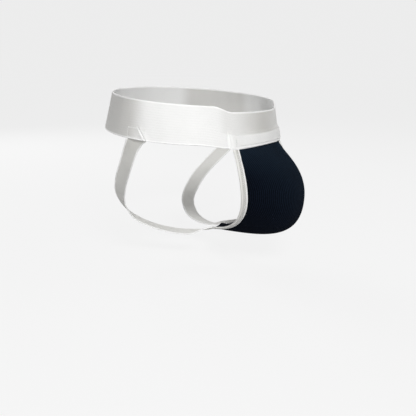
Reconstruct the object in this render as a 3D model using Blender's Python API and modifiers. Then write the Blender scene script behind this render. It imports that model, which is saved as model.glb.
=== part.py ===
"""Groin protector: an elastic waistband, a ribbed pouch with a moulded cup inside, and two leg straps.

Units are metres. +Z is up, -Y is the wearer's front and +X the wearer's left. The origin is the middle
of the waistband loop, and the straps and pouch have the shape that they take when worn.
"""
import bisect
import math

import bmesh
import bpy
from mathutils import Matrix, Vector

# Waistband, an ellipse in plan that rises towards the back and leans out at its lower edge
HIP_HALF_WIDTH = 0.165
HIP_HALF_DEPTH = 0.122
BAND_WIDTH = 0.0565
BAND_THICK = 0.0020
BAND_RISE = 0.104
LEAN_FRONT = math.radians(7.0)
LEAN_SIDE = math.radians(10.8)
LEAN_BACK = math.radians(17.4)
# The band drops at the front, in a step that is further round and softer at the band's lower edge
FRONT_DROP = 0.0080
FRONT_DROP_ANGLE = math.radians(35.0)
FRONT_DROP_EASE = math.radians(21.0)
FRONT_DROP_SHIFT = math.radians(2.0)
FRONT_DROP_SOFTEN = math.radians(7.0)
FRONT_LIFT = 0.0054
LAP_LENGTH = 0.038
LAP_MARGIN = 0.0010

# Sewing
GAP = 0.0003
THREAD_RADIUS = 0.00045
STITCH_LENGTH = 0.0050
STITCH_SWING = 0.0014
HEM_STITCH_RISE = 0.0050
EDGE_STITCH_INSET = 0.0042
EDGE_STITCH_START = 0.0060
EDGE_STITCH_END = 0.0100
TACK_HEIGHT = 0.0130
TACK_MARGIN = 0.0030
BAR_INSET = 0.0018

# Leg straps, and the narrower elastic that is folded in half down each side of the pouch
STRAP_WIDTH = 0.024
STRAP_THICK = 0.0015
STRAP_ANGLE = math.radians(90.0)
STRAP_TAB = 0.018
STRAP_FLARE = 0.009
STRAP_FLARE_LENGTH = 0.024
STRAP_EASE = 0.045
EDGE_ELASTIC_WIDTH = 0.020
FOLD_WIDTH = EDGE_ELASTIC_WIDTH / 2
FOLD_THICK = 2 * STRAP_THICK
# The middle of the leg's opening, and the point that the leg strap's outer face turns away from
LEG_CENTRE = Vector((0.085, 0.000, -0.050))
STRAP_TURN_CENTRE = Vector((0.0530, 0.0065, -0.0350))
# How far the strap bows off the straight line from the pouch to the hip, at even steps along that line
LEG_BOW = (
    Vector((-0.0095, 0.0357, -0.0321)),
    Vector((-0.0096, 0.0744, -0.0480)),
    Vector((-0.0018, 0.0972, -0.0490)),
    Vector((0.0071, 0.0909, -0.0390)),
    Vector((0.0080, 0.0666, -0.0299)),
    Vector((0.0068, 0.0333, -0.0189)),
)

# Pouch
POUCH_THICK = 0.0016
POUCH_TOP_HALF_WIDTH = 0.067
POUCH_REACH = 0.0626
POUCH_CROWN_DROP = 0.0791
POUCH_DEPTH = 0.1442
POUCH_TAIL_BACK = 0.077
TAIL_HALF_WIDTH = 0.016
TAIL_EDGE_RISE = 0.003
SEAM_SLOPE = math.radians(63.0)
SEAM_PULL = 0.57
CROWN_PULL = 0.49
BELLY_PULL = 1.04
TAIL_PULL = 0.61
SIDE_PULL_TOP = Vector((0.0144, -0.0198, -0.0395))
SIDE_PULL_TAIL = Vector((0.0389, -0.1025, 0.0160))
EDGE_SET_BACK = Vector((0.80, 0.60, 0.0))
EDGE_SET_TAIL = Vector((0.95, 0.0, 0.30))
EDGE_TURN_TOP = 0.070
EDGE_TURN_TAIL = 0.100
FULLNESS = 0.73
FILL_OUT_LENGTH = 0.0994
SEAM_FADE = 0.25
HEM_HEIGHT = 0.020
HEM_THICK = 0.0022
HEM_BULGE = 0.0034
HEM_EASE = 0.009
CROTCH_HEM_LENGTH = 0.010
CROTCH_HEM_THICK = 0.0028

# Cup and its pocket
CUP_THICK = 0.0030
CUP_CLEARANCE = 0.0012
CUP_HALF_WIDTH = 0.050
CUP_HALF_HEIGHT = 0.0825
CUP_TOP_DROP = 0.0285
BEAD_RADIUS = 0.0030
VENT_RADIUS = 0.0032
VENT_RING = 0.36
VENT_COUNT = 6
LINING_THICK = 0.0010
LINING_MARGIN = 0.04
MOUTH_DROP = 0.020
BINDING_WIDTH = 0.008
BINDING_HALF_SPAN = 0.72

# Grid counts across and along each layer of cloth, and stations round the cup's bead
LAP_GRID = (6, 4)
HEM_GRID = (24, 3)
POUCH_GRID = (22, 24)
CROTCH_GRID = (6, 1)
FOLD_GRID = (2, 24)
STRAP_GRID = (2, 40)
LINING_GRID = (18, 18)
BINDING_GRID = (16, 1)
CUP_GRID = (18, 18)
BEAD_STATIONS = 44
VENT_SIDES = 10

UP = Vector((0.0, 0.0, 1.0))
MERGE = 0.00001
SAMPLES = 160
NEAR_SHARE = 0.01
FACE_LIMIT = 0.98

# Fits worked out from the sizes above
EDGE_CLEAR = POUCH_THICK / 2 + GAP
HEM_HALF_WIDTH = POUCH_TOP_HALF_WIDTH + EDGE_CLEAR + FOLD_WIDTH
HEM_DEPTH = -(BAND_THICK / 2 + GAP + HEM_THICK / 2)
STRAP_DEPTH = -(BAND_THICK / 2 + GAP + STRAP_THICK / 2)
LAP_DEPTH = BAND_THICK + GAP
SEAM_DROP = GAP + POUCH_THICK / 2
EDGE_DROP = GAP + FOLD_THICK / 2
SEAM_ANGLE = math.asin(POUCH_TOP_HALF_WIDTH / HIP_HALF_WIDTH)
HEM_ANGLE = math.asin(HEM_HALF_WIDTH / HIP_HALF_WIDTH)
CUP_DEPTH = -(POUCH_THICK / 2 + CUP_CLEARANCE + CUP_THICK / 2)
BEAD_DEPTH = -(POUCH_THICK / 2 + CUP_CLEARANCE + BEAD_RADIUS)
BEAD_LEAD = (BEAD_RADIUS + GAP) / CUP_HALF_WIDTH
LINING_EDGE_DEPTH = -(POUCH_THICK / 2 + GAP + LINING_THICK / 2)
LINING_CUP_DEPTH = BEAD_DEPTH - BEAD_RADIUS - CUP_CLEARANCE - LINING_THICK / 2
LINING_RAMP_START = 1 + 3 * BEAD_LEAD
LINING_RAMP_END = 1 + 10 * BEAD_LEAD


def smooth(share):
    """Ease from 0 to 1 with level ends."""
    share = min(max(share, 0.0), 1.0)
    return share * share * (3 - 2 * share)


def bezier(start, first_pull, second_pull, end):
    """Points along one cubic curve from start to end, drawn towards its two pulls."""
    points = []
    for index in range(SAMPLES + 1):
        t = index / SAMPLES
        s = 1 - t
        towards_first = first_pull * 3 * s * s * t
        towards_second = second_pull * 3 * s * t * t
        points.append(start * s**3 + towards_first + towards_second + end * t**3)
    return points


def rounded_route(corners):
    """Points along a smooth curve that passes through every corner in turn."""
    points = []
    last = len(corners) - 1
    for index in range(last):
        before = corners[max(index - 1, 0)]
        start = corners[index]
        end = corners[index + 1]
        after = corners[min(index + 2, last)]
        piece = bezier(start, start + (end - before) / 6, end - (after - start) / 6, end)
        points.extend(piece if index == 0 else piece[1:])
    return points


class EvenPath:
    """A run of points that can be read at any share of its length."""

    def __init__(self, points):
        self.points = points
        self.marks = [0.0]
        for start, end in zip(points, points[1:]):
            self.marks.append(self.marks[-1] + (end - start).length)
        self.length = self.marks[-1]

    def at(self, share):
        target = min(max(share, 0.0), 1.0) * self.length
        index = min(bisect.bisect_right(self.marks, target), len(self.marks) - 1) - 1
        step = self.marks[index + 1] - self.marks[index]
        return self.points[index].lerp(self.points[index + 1], (target - self.marks[index]) / step)

    def heading(self, share):
        near = 1 / SAMPLES
        return (self.at(min(share + near, 1.0)) - self.at(max(share - near, 0.0))).normalized()


def band_point(angle, down, out):
    """A point on the waistband: angle from the front centre, distance down its width and off its face."""
    front = max(math.cos(angle), 0.0)
    back = max(-math.cos(angle), 0.0)
    middle = Vector((HIP_HALF_WIDTH * math.sin(angle), -HIP_HALF_DEPTH * math.cos(angle), 0.0))
    outward = Vector((math.sin(angle) / HIP_HALF_WIDTH, -math.cos(angle) / HIP_HALF_DEPTH, 0.0))
    outward.normalize()
    low = down / (BAND_WIDTH / 2)
    drop_angle = FRONT_DROP_ANGLE + FRONT_DROP_SHIFT * low
    drop_ease = FRONT_DROP_EASE + FRONT_DROP_SOFTEN * low
    middle.z = BAND_RISE * middle.y
    middle.z -= FRONT_DROP * smooth((drop_angle - abs(angle)) / drop_ease + 0.5)
    lean = LEAN_SIDE + (LEAN_FRONT - LEAN_SIDE) * front**2 + (LEAN_BACK - LEAN_SIDE) * back**2
    fall = outward * math.sin(lean) - UP * math.cos(lean)
    face = outward * math.cos(lean) + UP * math.sin(lean)
    lift = FRONT_LIFT * front**6 * max(low, 0.0)
    over_hem = smooth((down - BAND_WIDTH / 2 + HEM_HEIGHT) / HEM_EASE + 1)
    if front > 0:
        over_hem *= smooth((HEM_HALF_WIDTH - abs(middle.x)) / HEM_EASE + 1)
    else:
        over_hem = 0.0
    return middle + fall * down + face * (out + HEM_BULGE * over_hem) + UP * lift


def band_patch(first_angle, last_angle, top, bottom, out):
    """A patch of the band's surface as a function of two shares, across and down."""
    def place(across, along):
        angle = first_angle + (last_angle - first_angle) * across
        return band_point(angle, top + (bottom - top) * along, out)
    return place


def seam_point(across):
    """The top edge of the pouch, just under the lower edge of the band; across runs from -1 to 1."""
    return band_point(SEAM_ANGLE * across, BAND_WIDTH / 2 + SEAM_DROP, HEM_DEPTH)


def pouch_lines():
    """The pouch's middle profile, from the seam over the crown to the tail, and its left side edge."""
    seam = seam_point(0.0)
    crown = seam + Vector((0.0, -POUCH_REACH, -POUCH_CROWN_DROP))
    tail = seam + Vector((0.0, POUCH_TAIL_BACK, -POUCH_DEPTH))
    away = Vector((0.0, -math.sin(SEAM_SLOPE), -math.cos(SEAM_SLOPE))) * SEAM_PULL * POUCH_REACH
    above = UP * CROWN_PULL * POUCH_CROWN_DROP
    upper = bezier(seam, seam + away, crown + above, crown)
    belly = UP * BELLY_PULL * (POUCH_DEPTH - POUCH_CROWN_DROP)
    reach_back = Vector((0.0, TAIL_PULL * (POUCH_REACH + POUCH_TAIL_BACK), 0.0))
    lower = bezier(crown, crown - belly, tail - reach_back, tail)
    corner = seam_point(1.0)
    foot = tail + Vector((TAIL_HALF_WIDTH, 0.0, TAIL_EDGE_RISE))
    side = bezier(corner, corner + SIDE_PULL_TOP, foot + SIDE_PULL_TAIL, foot)
    return EvenPath(upper + lower[1:]), EvenPath(side)


PROFILE, SIDE = pouch_lines()


def pouch_point(u, v):
    """A point on the pouch: u from -1 to 1 between its sides, v from 0 at the seam to 1 at the tail."""
    u = min(max(u, -1.0), 1.0)
    v = min(max(v, 0.0), 1.0)
    across = math.sin(u * math.pi / 2)
    fullness = 1 - (1 - FULLNESS) * min(v * PROFILE.length / FILL_OUT_LENGTH, 1.0)
    bulge = max(1 - across * across, 0.0) ** fullness
    edge = SIDE.at(v)
    middle = PROFILE.at(v)
    point = edge.lerp(middle, bulge)
    point.x = edge.x * across
    if v < SEAM_FADE:
        top_edge = SIDE.at(0.0).lerp(PROFILE.at(0.0), 1 - across * across)
        top_edge.x = SIDE.at(0.0).x * across
        point += (seam_point(across) - top_edge) * (1 - v / SEAM_FADE) ** 2
    return point


def pouch_layer(u, v, depth):
    """A point off the pouch's face: depth is along the outward normal, so inner layers are negative."""
    widest = FACE_LIMIT - NEAR_SHARE
    u_near = min(max(u, -widest), widest)
    v_near = min(max(v, NEAR_SHARE), 1 - NEAR_SHARE)
    across = pouch_point(u_near + NEAR_SHARE, v_near) - pouch_point(u_near - NEAR_SHARE, v_near)
    along = pouch_point(u_near, v_near + NEAR_SHARE) - pouch_point(u_near, v_near - NEAR_SHARE)
    return pouch_point(u, v) + along.cross(across).normalized() * depth


CUP_MIDDLE = (CUP_TOP_DROP + CUP_HALF_HEIGHT) / PROFILE.length
CUP_SPAN_U = math.asin(CUP_HALF_WIDTH / SIDE.at(CUP_MIDDLE).x) / (math.pi / 2)
CUP_SPAN_V = CUP_HALF_HEIGHT / PROFILE.length


def cup_layer(x, y, depth):
    """A point behind the pouch's face in the cup's own outline, where x and y reach 1 at its rim."""
    return pouch_layer(x * CUP_SPAN_U, CUP_MIDDLE + y * CUP_SPAN_V, depth)


def cup_place(across, along):
    """The cup's middle surface: a square grid drawn into a disc inside the rim."""
    p = 2 * across - 1
    q = 2 * along - 1
    return cup_layer(p * math.sqrt(1 - q * q / 2), q * math.sqrt(1 - p * p / 2), CUP_DEPTH)


def lining_point(u, v):
    """The pocket's inner layer: behind the cup and its bead in the middle, against the pouch elsewhere."""
    ring = math.hypot(u / CUP_SPAN_U, (v - CUP_MIDDLE) / CUP_SPAN_V)
    behind = smooth((LINING_RAMP_END - ring) / (LINING_RAMP_END - LINING_RAMP_START))
    return pouch_layer(u, v, LINING_EDGE_DEPTH + (LINING_CUP_DEPTH - LINING_EDGE_DEPTH) * behind)


def edge_direction(v):
    """The direction in which the folded edge elastic stands off the pouch's left side, at share v."""
    top = band_point(HEM_ANGLE, 0.0, 0.0) - band_point(SEAM_ANGLE, 0.0, 0.0)
    top.z = 0.0
    leaning = top.normalized().lerp(EDGE_SET_BACK, smooth(v * SIDE.length / EDGE_TURN_TOP))
    leaning = leaning.lerp(EDGE_SET_TAIL, smooth(1 - (1 - v) * SIDE.length / EDGE_TURN_TAIL))
    heading = SIDE.heading(v)
    return (leaning - heading * leaning.dot(heading)).normalized()


def edge_place(across, along):
    """The folded elastic along the pouch's left side, from the band at 0 to the tail at 1."""
    reach = EDGE_CLEAR + FOLD_WIDTH * across
    point = SIDE.at(along) + edge_direction(along) * reach
    if along < SEAM_FADE:
        share = reach / (EDGE_CLEAR + FOLD_WIDTH)
        angle = SEAM_ANGLE + (HEM_ANGLE - SEAM_ANGLE) * share
        seat = band_point(angle, BAND_WIDTH / 2 + EDGE_DROP, HEM_DEPTH)
        point += (seat - SIDE.at(0.0) - edge_direction(0.0) * reach) * (1 - along / SEAM_FADE) ** 2
    return point


def leg_path():
    """The left strap's middle line, from the tail of the pouch round the leg to the band's lower edge."""
    sideways = edge_direction(1.0) * (EDGE_CLEAR + FOLD_WIDTH / 2)
    start = SIDE.at(1.0) + sideways + SIDE.heading(1.0) * GAP * 2
    end = band_point(STRAP_ANGLE, BAND_WIDTH / 2, STRAP_DEPTH)
    route = [start]
    for index, bow in enumerate(LEG_BOW, 1):
        route.append(start.lerp(end, index / (len(LEG_BOW) + 1)) + bow)
    return EvenPath(rounded_route((*route, end)))


LEG = leg_path()


def strap_angle(offset):
    """The band angle at a distance from the left strap's middle; forward of it is positive."""
    return STRAP_ANGLE - offset / HIP_HALF_DEPTH


def strap_place(across, along):
    """The left leg strap, which opens out from the tail on and flares forward as it meets the band:
    across its width, along from tail to tab."""
    distance = along * (LEG.length + STRAP_TAB)
    below = LEG.length - distance
    flare = STRAP_FLARE * min(max(1 - below / STRAP_FLARE_LENGTH, 0.0), 1.0) ** 2
    wide = FOLD_WIDTH + (STRAP_WIDTH - FOLD_WIDTH) * smooth(distance / STRAP_EASE)
    offset = (across - 0.5) * wide + flare * across
    if below <= 0:
        return band_point(strap_angle(offset), BAND_WIDTH / 2 + below, STRAP_DEPTH)
    share = distance / LEG.length
    middle = LEG.at(share)
    outward = (middle - STRAP_TURN_CENTRE).normalized()
    width = outward.cross(LEG.heading(share)).normalized()
    forward = band_point(strap_angle(STRAP_WIDTH), 0.0, 0.0) - band_point(STRAP_ANGLE, 0.0, 0.0)
    width = width.lerp(forward.normalized(), smooth(1 - below / STRAP_EASE))
    width = width.lerp(edge_direction(1.0), smooth(1 - distance / STRAP_EASE))
    return middle + width.normalized() * offset


def crotch_place(across, along):
    """The folded foot of the pouch, straight back from the end of the tail."""
    return pouch_point(2 * across - 1, 1.0) + PROFILE.heading(1.0) * (GAP + CROTCH_HEM_LENGTH * along)


def off_face(place, across, along, height, inside):
    """A point at a height off a surface, on the side that faces away from the point inside."""
    low_a = max(across - NEAR_SHARE, 0.0)
    high_a = min(across + NEAR_SHARE, 1.0)
    low_b = max(along - NEAR_SHARE, 0.0)
    high_b = min(along + NEAR_SHARE, 1.0)
    point = place(across, along)
    normal = place(high_a, along) - place(low_a, along)
    normal = normal.cross(place(across, high_b) - place(across, low_b)).normalized()
    if normal.dot(point - inside) < 0:
        normal.negate()
    return point + normal * height


def zigzag(start, end, swing, length):
    """Shares along a zigzag row from start to end: swing is added and taken away in turn."""
    count = max(round(length / STITCH_LENGTH), 2)
    turns = []
    for index in range(2 * count + 1):
        share = index / (2 * count)
        sign = 1 if index % 2 else -1
        turns.append((
            start[0] + (end[0] - start[0]) * share + swing[0] * sign,
            start[1] + (end[1] - start[1]) * share + swing[1] * sign,
        ))
    return turns


def finish(name, colour, roughness):
    """A plain material with one colour and roughness."""
    material = bpy.data.materials.new(name)
    material.use_nodes = True
    shader = material.node_tree.nodes["Principled BSDF"]
    shader.inputs["Base Color"].default_value = (*colour, 1.0)
    shader.inputs["Roughness"].default_value = roughness
    shader.inputs["Metallic"].default_value = 0.0
    material.diffuse_color = (*colour, 1.0)
    return material


def add_object(name, data, material, parent=None):
    """Link a piece into the parts collection, with its material and the empty that it moves with."""
    data.materials.append(material)
    piece = bpy.data.objects.new(name, data)
    PARTS.objects.link(piece)
    if parent is not None:
        piece.parent = parent
        piece.matrix_parent_inverse = Matrix.Translation(HANDLES[parent.name]).inverted()
    return piece


def add_handle(name, location, parent=None):
    """An empty on a joint's axis."""
    handle = bpy.data.objects.new(name, None)
    PARTS.objects.link(handle)
    HANDLES[name] = location
    handle.location = location
    if parent is not None:
        handle.parent = parent
        handle.location = location - HANDLES[parent.name]
    return handle


def cloth(name, counts, place, thick, material, parent=None, closed=False):
    """A layer of cloth or elastic: a grid bent to its surface, with its thickness from Solidify."""
    grid = bmesh.new()
    bmesh.ops.create_grid(grid, x_segments=counts[0], y_segments=counts[1], size=1.0)
    for vert in grid.verts:
        vert.co = place((vert.co.x + 1) / 2, (vert.co.y + 1) / 2)
    if closed:
        bmesh.ops.remove_doubles(grid, verts=grid.verts, dist=MERGE)
    mesh = bpy.data.meshes.new(name)
    grid.to_mesh(mesh)
    grid.free()
    mesh.shade_smooth()
    piece = add_object(name, mesh, material, parent)
    wall = piece.modifiers.new("thickness", "SOLIDIFY")
    wall.thickness = thick
    wall.offset = 0.0
    return piece


def tube(name, points, radius, sides, material, parent=None, closed=False):
    """A round thread or bead: one unbroken poly curve with filled caps."""
    curve = bpy.data.curves.new(name, "CURVE")
    curve.dimensions = "3D"
    curve.bevel_depth = radius
    curve.bevel_resolution = sides
    curve.use_fill_caps = True
    spline = curve.splines.new("POLY")
    spline.points.add(len(points) - 1)
    for target, point in zip(spline.points, points):
        target.co = (*point, 1.0)
    spline.use_cyclic_u = closed
    return add_object(name, curve, material, parent)


def thread(name, place, shares, height, inside, material, parent=None, side=1):
    """A row of sewing on a surface; a side of -1 mirrors it to the wearer's right."""
    points = []
    for across, along in shares:
        point = off_face(place, across, along, height + GAP + THREAD_RADIUS, inside)
        points.append(Vector((side * point.x, point.y, point.z)))
    return tube(name, points, THREAD_RADIUS, 0, material, parent)


def mirrored(place, side):
    """The same surface on the wearer's left, or mirrored to the right where side is -1."""
    def flipped(across, along):
        point = place(across, along)
        return Vector((side * point.x, point.y, point.z))
    return flipped


def steps(start, end, count):
    """Even stations from start up to, but not at, end."""
    return [start + (end - start) * index / count for index in range(count)]


def build_waistband():
    """The loop of elastic, its lapped end at the centre back and the sewing that closes it."""
    half = BAND_WIDTH / 2
    hem_top = half - HEM_HEIGHT
    rows = steps(-half, hem_top - HEM_EASE, 3) + steps(hem_top - HEM_EASE, hem_top, 2)
    rows += steps(hem_top, half, 2) + [half]
    bulge_end = math.asin((HEM_HALF_WIDTH + HEM_EASE) / HIP_HALF_WIDTH)
    hip = FRONT_DROP_ANGLE + FRONT_DROP_EASE
    turns = steps(0.0, HEM_ANGLE, 7) + steps(HEM_ANGLE, bulge_end, 2) + steps(bulge_end, hip, 6)
    turns += steps(hip, math.pi, 27) + [math.pi]
    angles = [-turn for turn in reversed(turns[1:])] + turns

    def loop(across, along):
        angle = angles[round(across * (len(angles) - 1))]
        return band_point(angle, rows[round(along * (len(rows) - 1))], 0.0)

    cloth("waistband", (len(angles) - 1, len(rows) - 1), loop, BAND_THICK, WHITE, closed=True)
    lap_angle = LAP_LENGTH / 2 / HIP_HALF_WIDTH
    edge = half - LAP_MARGIN
    lap = band_patch(math.pi - lap_angle, math.pi + lap_angle, -edge, edge, LAP_DEPTH)
    cloth("waistband_lap", LAP_GRID, lap, BAND_THICK, WHITE)
    swing = STITCH_SWING / LAP_LENGTH
    inset = TACK_MARGIN / LAP_LENGTH
    drop = TACK_MARGIN / (2 * edge)
    column = 2 * edge - 2 * TACK_MARGIN
    down_row = zigzag((inset, drop), (inset, 1 - drop), (swing, 0.0), column)
    foot_row = zigzag((2 * inset, 1 - drop), (1 - 2 * inset, 1 - drop), (0.0, 0.0), LAP_LENGTH)
    up_row = zigzag((1 - inset, 1 - drop), (1 - inset, drop), (swing, 0.0), column)
    thread("lap_stitching", lap, down_row + foot_row + up_row, BAND_THICK / 2, ORIGIN, THREAD)


def build_hem():
    """The pouch's top hem behind the band, with its row of sewing and the tacks at its two corners."""
    half = BAND_WIDTH / 2
    hem = band_patch(-HEM_ANGLE, HEM_ANGLE, half - HEM_HEIGHT, half, HEM_DEPTH)
    cloth("pouch_top_hem", HEM_GRID, hem, HEM_THICK, NAVY)
    face = band_patch(-HEM_ANGLE, HEM_ANGLE, half - HEM_HEIGHT, half, 0.0)
    row = 1 - HEM_STITCH_RISE / HEM_HEIGHT
    inset = (FOLD_WIDTH + TACK_MARGIN) / (2 * HEM_HALF_WIDTH)
    swing = STITCH_SWING / 2 / HEM_HEIGHT
    shares = zigzag((inset, row), (1 - inset, row), (0.0, swing), 2 * POUCH_TOP_HALF_WIDTH)
    thread("hem_stitching", face, shares, BAND_THICK / 2, ORIGIN, THREAD)
    low = 1 - TACK_MARGIN / HEM_HEIGHT
    high = low - TACK_HEIGHT / HEM_HEIGHT
    centre = 1 - FOLD_WIDTH / 2 / (2 * HEM_HALF_WIDTH)
    wide = STITCH_SWING / (2 * HEM_HALF_WIDTH)
    for side_name, side in SIDES:
        tack = zigzag((centre, high), (centre, low), (wide, 0.0), TACK_HEIGHT)
        thread("front_tack_" + side_name, face, tack, BAND_THICK / 2, ORIGIN, THREAD, side=side)


def build_pouch(hinge):
    """The rib-knit front, the folded elastic down each side with its sewing, and the folded foot."""
    def front(across, along):
        return pouch_point(2 * across - 1, along)

    cloth("pouch_front", POUCH_GRID, front, POUCH_THICK, NAVY, hinge)
    cloth("crotch_hem", CROTCH_GRID, crotch_place, CROTCH_HEM_THICK, NAVY, hinge)
    swing = STITCH_SWING / FOLD_WIDTH
    row = EDGE_STITCH_INSET / FOLD_WIDTH
    first = EDGE_STITCH_START / SIDE.length
    last = 1 - EDGE_STITCH_END / SIDE.length
    for side_name, side in SIDES:
        name = "pouch_edge_elastic_" + side_name
        cloth(name, FOLD_GRID, mirrored(edge_place, side), FOLD_THICK, WHITE, hinge)
        shares = zigzag((row, first), (row, last), (swing, 0.0), SIDE.length)
        name = "edge_stitching_" + side_name
        thread(name, edge_place, shares, FOLD_THICK / 2, LEG_CENTRE, THREAD, hinge, side)


def build_straps(hinge):
    """The leg straps, the tacks that hold them behind the band and those at the foot of the pouch."""
    half = BAND_WIDTH / 2
    spread = (STRAP_WIDTH + STRAP_FLARE) / 2
    tab = band_patch(strap_angle(-STRAP_WIDTH / 2), strap_angle(2 * spread - STRAP_WIDTH / 2),
                     half - STRAP_TAB, half, 0.0)
    low = 1 - TACK_MARGIN / STRAP_TAB
    high = low - TACK_HEIGHT / STRAP_TAB
    inset = TACK_MARGIN / (2 * spread)
    swing = STITCH_SWING / STRAP_TAB
    bar_inset = BAR_INSET / FOLD_WIDTH
    bar_row = 1 - TACK_MARGIN / SIDE.length
    bar_swing = STITCH_SWING / SIDE.length
    for side_name, side in SIDES:
        cloth("leg_strap_" + side_name, STRAP_GRID, mirrored(strap_place, side), STRAP_THICK, WHITE)
        over = zigzag((inset, high), (1 - inset, high), (0.0, swing), 2 * spread)
        back = zigzag((1 - inset, low), (inset, low), (0.0, swing), 2 * spread)
        thread("strap_tack_" + side_name, tab, over + back, BAND_THICK / 2, ORIGIN, THREAD, side=side)
        bar = zigzag((bar_inset, bar_row), (1 - bar_inset, bar_row), (0.0, bar_swing), FOLD_WIDTH)
        name = "crotch_tack_" + side_name
        thread(name, edge_place, bar, FOLD_THICK / 2, LEG_CENTRE, THREAD, hinge, side)


def build_lining(hinge):
    """The inner layer that makes the cup's pocket, and the binding along the pocket's mouth."""
    reach = 1 - LINING_MARGIN
    mouth = MOUTH_DROP / PROFILE.length
    lip = (MOUTH_DROP - BINDING_WIDTH) / PROFILE.length
    edge = (MOUTH_DROP - GAP) / PROFILE.length

    def lining(across, along):
        return lining_point((2 * across - 1) * reach, mouth + (reach - mouth) * along)

    def binding(across, along):
        return lining_point((2 * across - 1) * BINDING_HALF_SPAN, lip + (edge - lip) * along)

    cloth("pouch_lining", LINING_GRID, lining, LINING_THICK, GREY, hinge)
    cloth("pocket_binding", BINDING_GRID, binding, LINING_THICK, GREY, hinge)


def build_cup(runner):
    """The moulded cup with its vent holes, and the soft bead round its rim."""
    shell = cloth("cup_shell", CUP_GRID, cup_place, CUP_THICK, PLASTIC, runner)
    spots = [(0.0, 0.0)]
    for index in range(VENT_COUNT):
        turn = 2 * math.pi * index / VENT_COUNT
        spots.append((VENT_RING * math.cos(turn), VENT_RING * math.sin(turn)))
    drills = bmesh.new()
    for x, y in spots:
        middle = cup_layer(x, y, CUP_DEPTH)
        aim = cup_layer(x, y, CUP_DEPTH + CUP_THICK) - middle
        turn = aim.to_track_quat("Z", "Y").to_matrix().to_4x4()
        place = Matrix.Translation(middle) @ turn
        bmesh.ops.create_cone(drills, cap_ends=True, segments=VENT_SIDES, radius1=VENT_RADIUS,
                              radius2=VENT_RADIUS, depth=4 * CUP_THICK, matrix=place)
    mesh = bpy.data.meshes.new("cup_vent_drills")
    drills.to_mesh(mesh)
    drills.free()
    cutter = bpy.data.objects.new("cup_vent_drills", mesh)
    CUTTERS.objects.link(cutter)
    cutter.hide_render = True
    cutter.display_type = "WIRE"
    vents = shell.modifiers.new("vents", "BOOLEAN")
    vents.operation = "DIFFERENCE"
    vents.solver = "EXACT"
    vents.object = cutter
    rim = []
    reach = 1 + BEAD_LEAD
    for index in range(BEAD_STATIONS):
        turn = 2 * math.pi * index / BEAD_STATIONS
        rim.append(cup_layer(reach * math.cos(turn), reach * math.sin(turn), BEAD_DEPTH))
    tube("cup_edge_cushion", rim, BEAD_RADIUS, 2, RUBBER, runner, closed=True)


for old in list(bpy.data.objects):
    bpy.data.objects.remove(old, do_unlink=True)
PARTS = bpy.data.collections.new("groin_protector")
CUTTERS = bpy.data.collections.new("cutters")
bpy.context.scene.collection.children.link(PARTS)
bpy.context.scene.collection.children.link(CUTTERS)
HANDLES = {}
SIDES = (("left", 1), ("right", -1))
ORIGIN = Vector((0.0, 0.0, 0.0))

WHITE = finish("white_elastic", (0.82, 0.82, 0.81), 0.85)
NAVY = finish("navy_rib_knit", (0.012, 0.017, 0.024), 0.92)
GREY = finish("grey_lining", (0.10, 0.11, 0.12), 0.90)
PLASTIC = finish("cup_plastic", (0.70, 0.71, 0.70), 0.35)
RUBBER = finish("cushion_rubber", (0.30, 0.31, 0.32), 0.60)
THREAD = finish("sewing_thread", (0.80, 0.80, 0.79), 0.80)

build_waistband()
build_hem()
HINGE = add_handle("pouch_hinge", band_point(0.0, BAND_WIDTH / 2, BAND_THICK / 2))
RUNNER = add_handle("cup_runner", cup_layer(0.0, 0.0, CUP_DEPTH), HINGE)
build_pouch(HINGE)
build_straps(HINGE)
build_lining(HINGE)
build_cup(RUNNER)
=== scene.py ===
import math

import bpy
import numpy as np
from mathutils import Matrix, Vector


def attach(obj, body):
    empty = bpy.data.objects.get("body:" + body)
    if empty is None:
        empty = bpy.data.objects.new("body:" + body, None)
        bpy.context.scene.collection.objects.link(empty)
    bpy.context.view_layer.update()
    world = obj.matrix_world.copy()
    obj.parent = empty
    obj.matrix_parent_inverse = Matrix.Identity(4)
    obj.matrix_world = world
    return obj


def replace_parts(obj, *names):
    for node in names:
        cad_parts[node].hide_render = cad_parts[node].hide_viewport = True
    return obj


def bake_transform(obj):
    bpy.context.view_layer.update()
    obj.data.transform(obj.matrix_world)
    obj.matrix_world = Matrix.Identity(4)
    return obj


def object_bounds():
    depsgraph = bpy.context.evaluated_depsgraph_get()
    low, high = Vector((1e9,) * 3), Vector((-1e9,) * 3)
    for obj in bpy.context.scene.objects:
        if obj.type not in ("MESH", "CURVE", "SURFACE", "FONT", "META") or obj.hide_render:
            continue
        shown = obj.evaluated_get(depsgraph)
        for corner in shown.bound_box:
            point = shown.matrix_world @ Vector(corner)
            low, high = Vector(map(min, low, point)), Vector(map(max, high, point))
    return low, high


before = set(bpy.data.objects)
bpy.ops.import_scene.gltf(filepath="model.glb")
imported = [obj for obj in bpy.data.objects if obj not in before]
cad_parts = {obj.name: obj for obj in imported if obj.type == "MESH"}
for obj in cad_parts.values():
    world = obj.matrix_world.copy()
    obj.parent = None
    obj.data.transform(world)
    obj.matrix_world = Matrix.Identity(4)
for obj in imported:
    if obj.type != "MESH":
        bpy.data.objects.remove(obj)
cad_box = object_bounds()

# Waistband: one loop of wide white elastic, woven round covered rubber cores that run along it.
# It is cut to the hip, rises to the back, and swells at the front where the pouch's hem is sewn behind it.
HIP_HALF_WIDTH = 0.165
HIP_HALF_DEPTH = 0.122
BAND_WIDTH = 0.0565
BAND_HALF = BAND_WIDTH / 2
BAND_THICK = 0.0020
BAND_RISE = 0.104
LEAN_FRONT = math.radians(7.0)
LEAN_SIDE = math.radians(10.8)
LEAN_BACK = math.radians(17.4)
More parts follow.
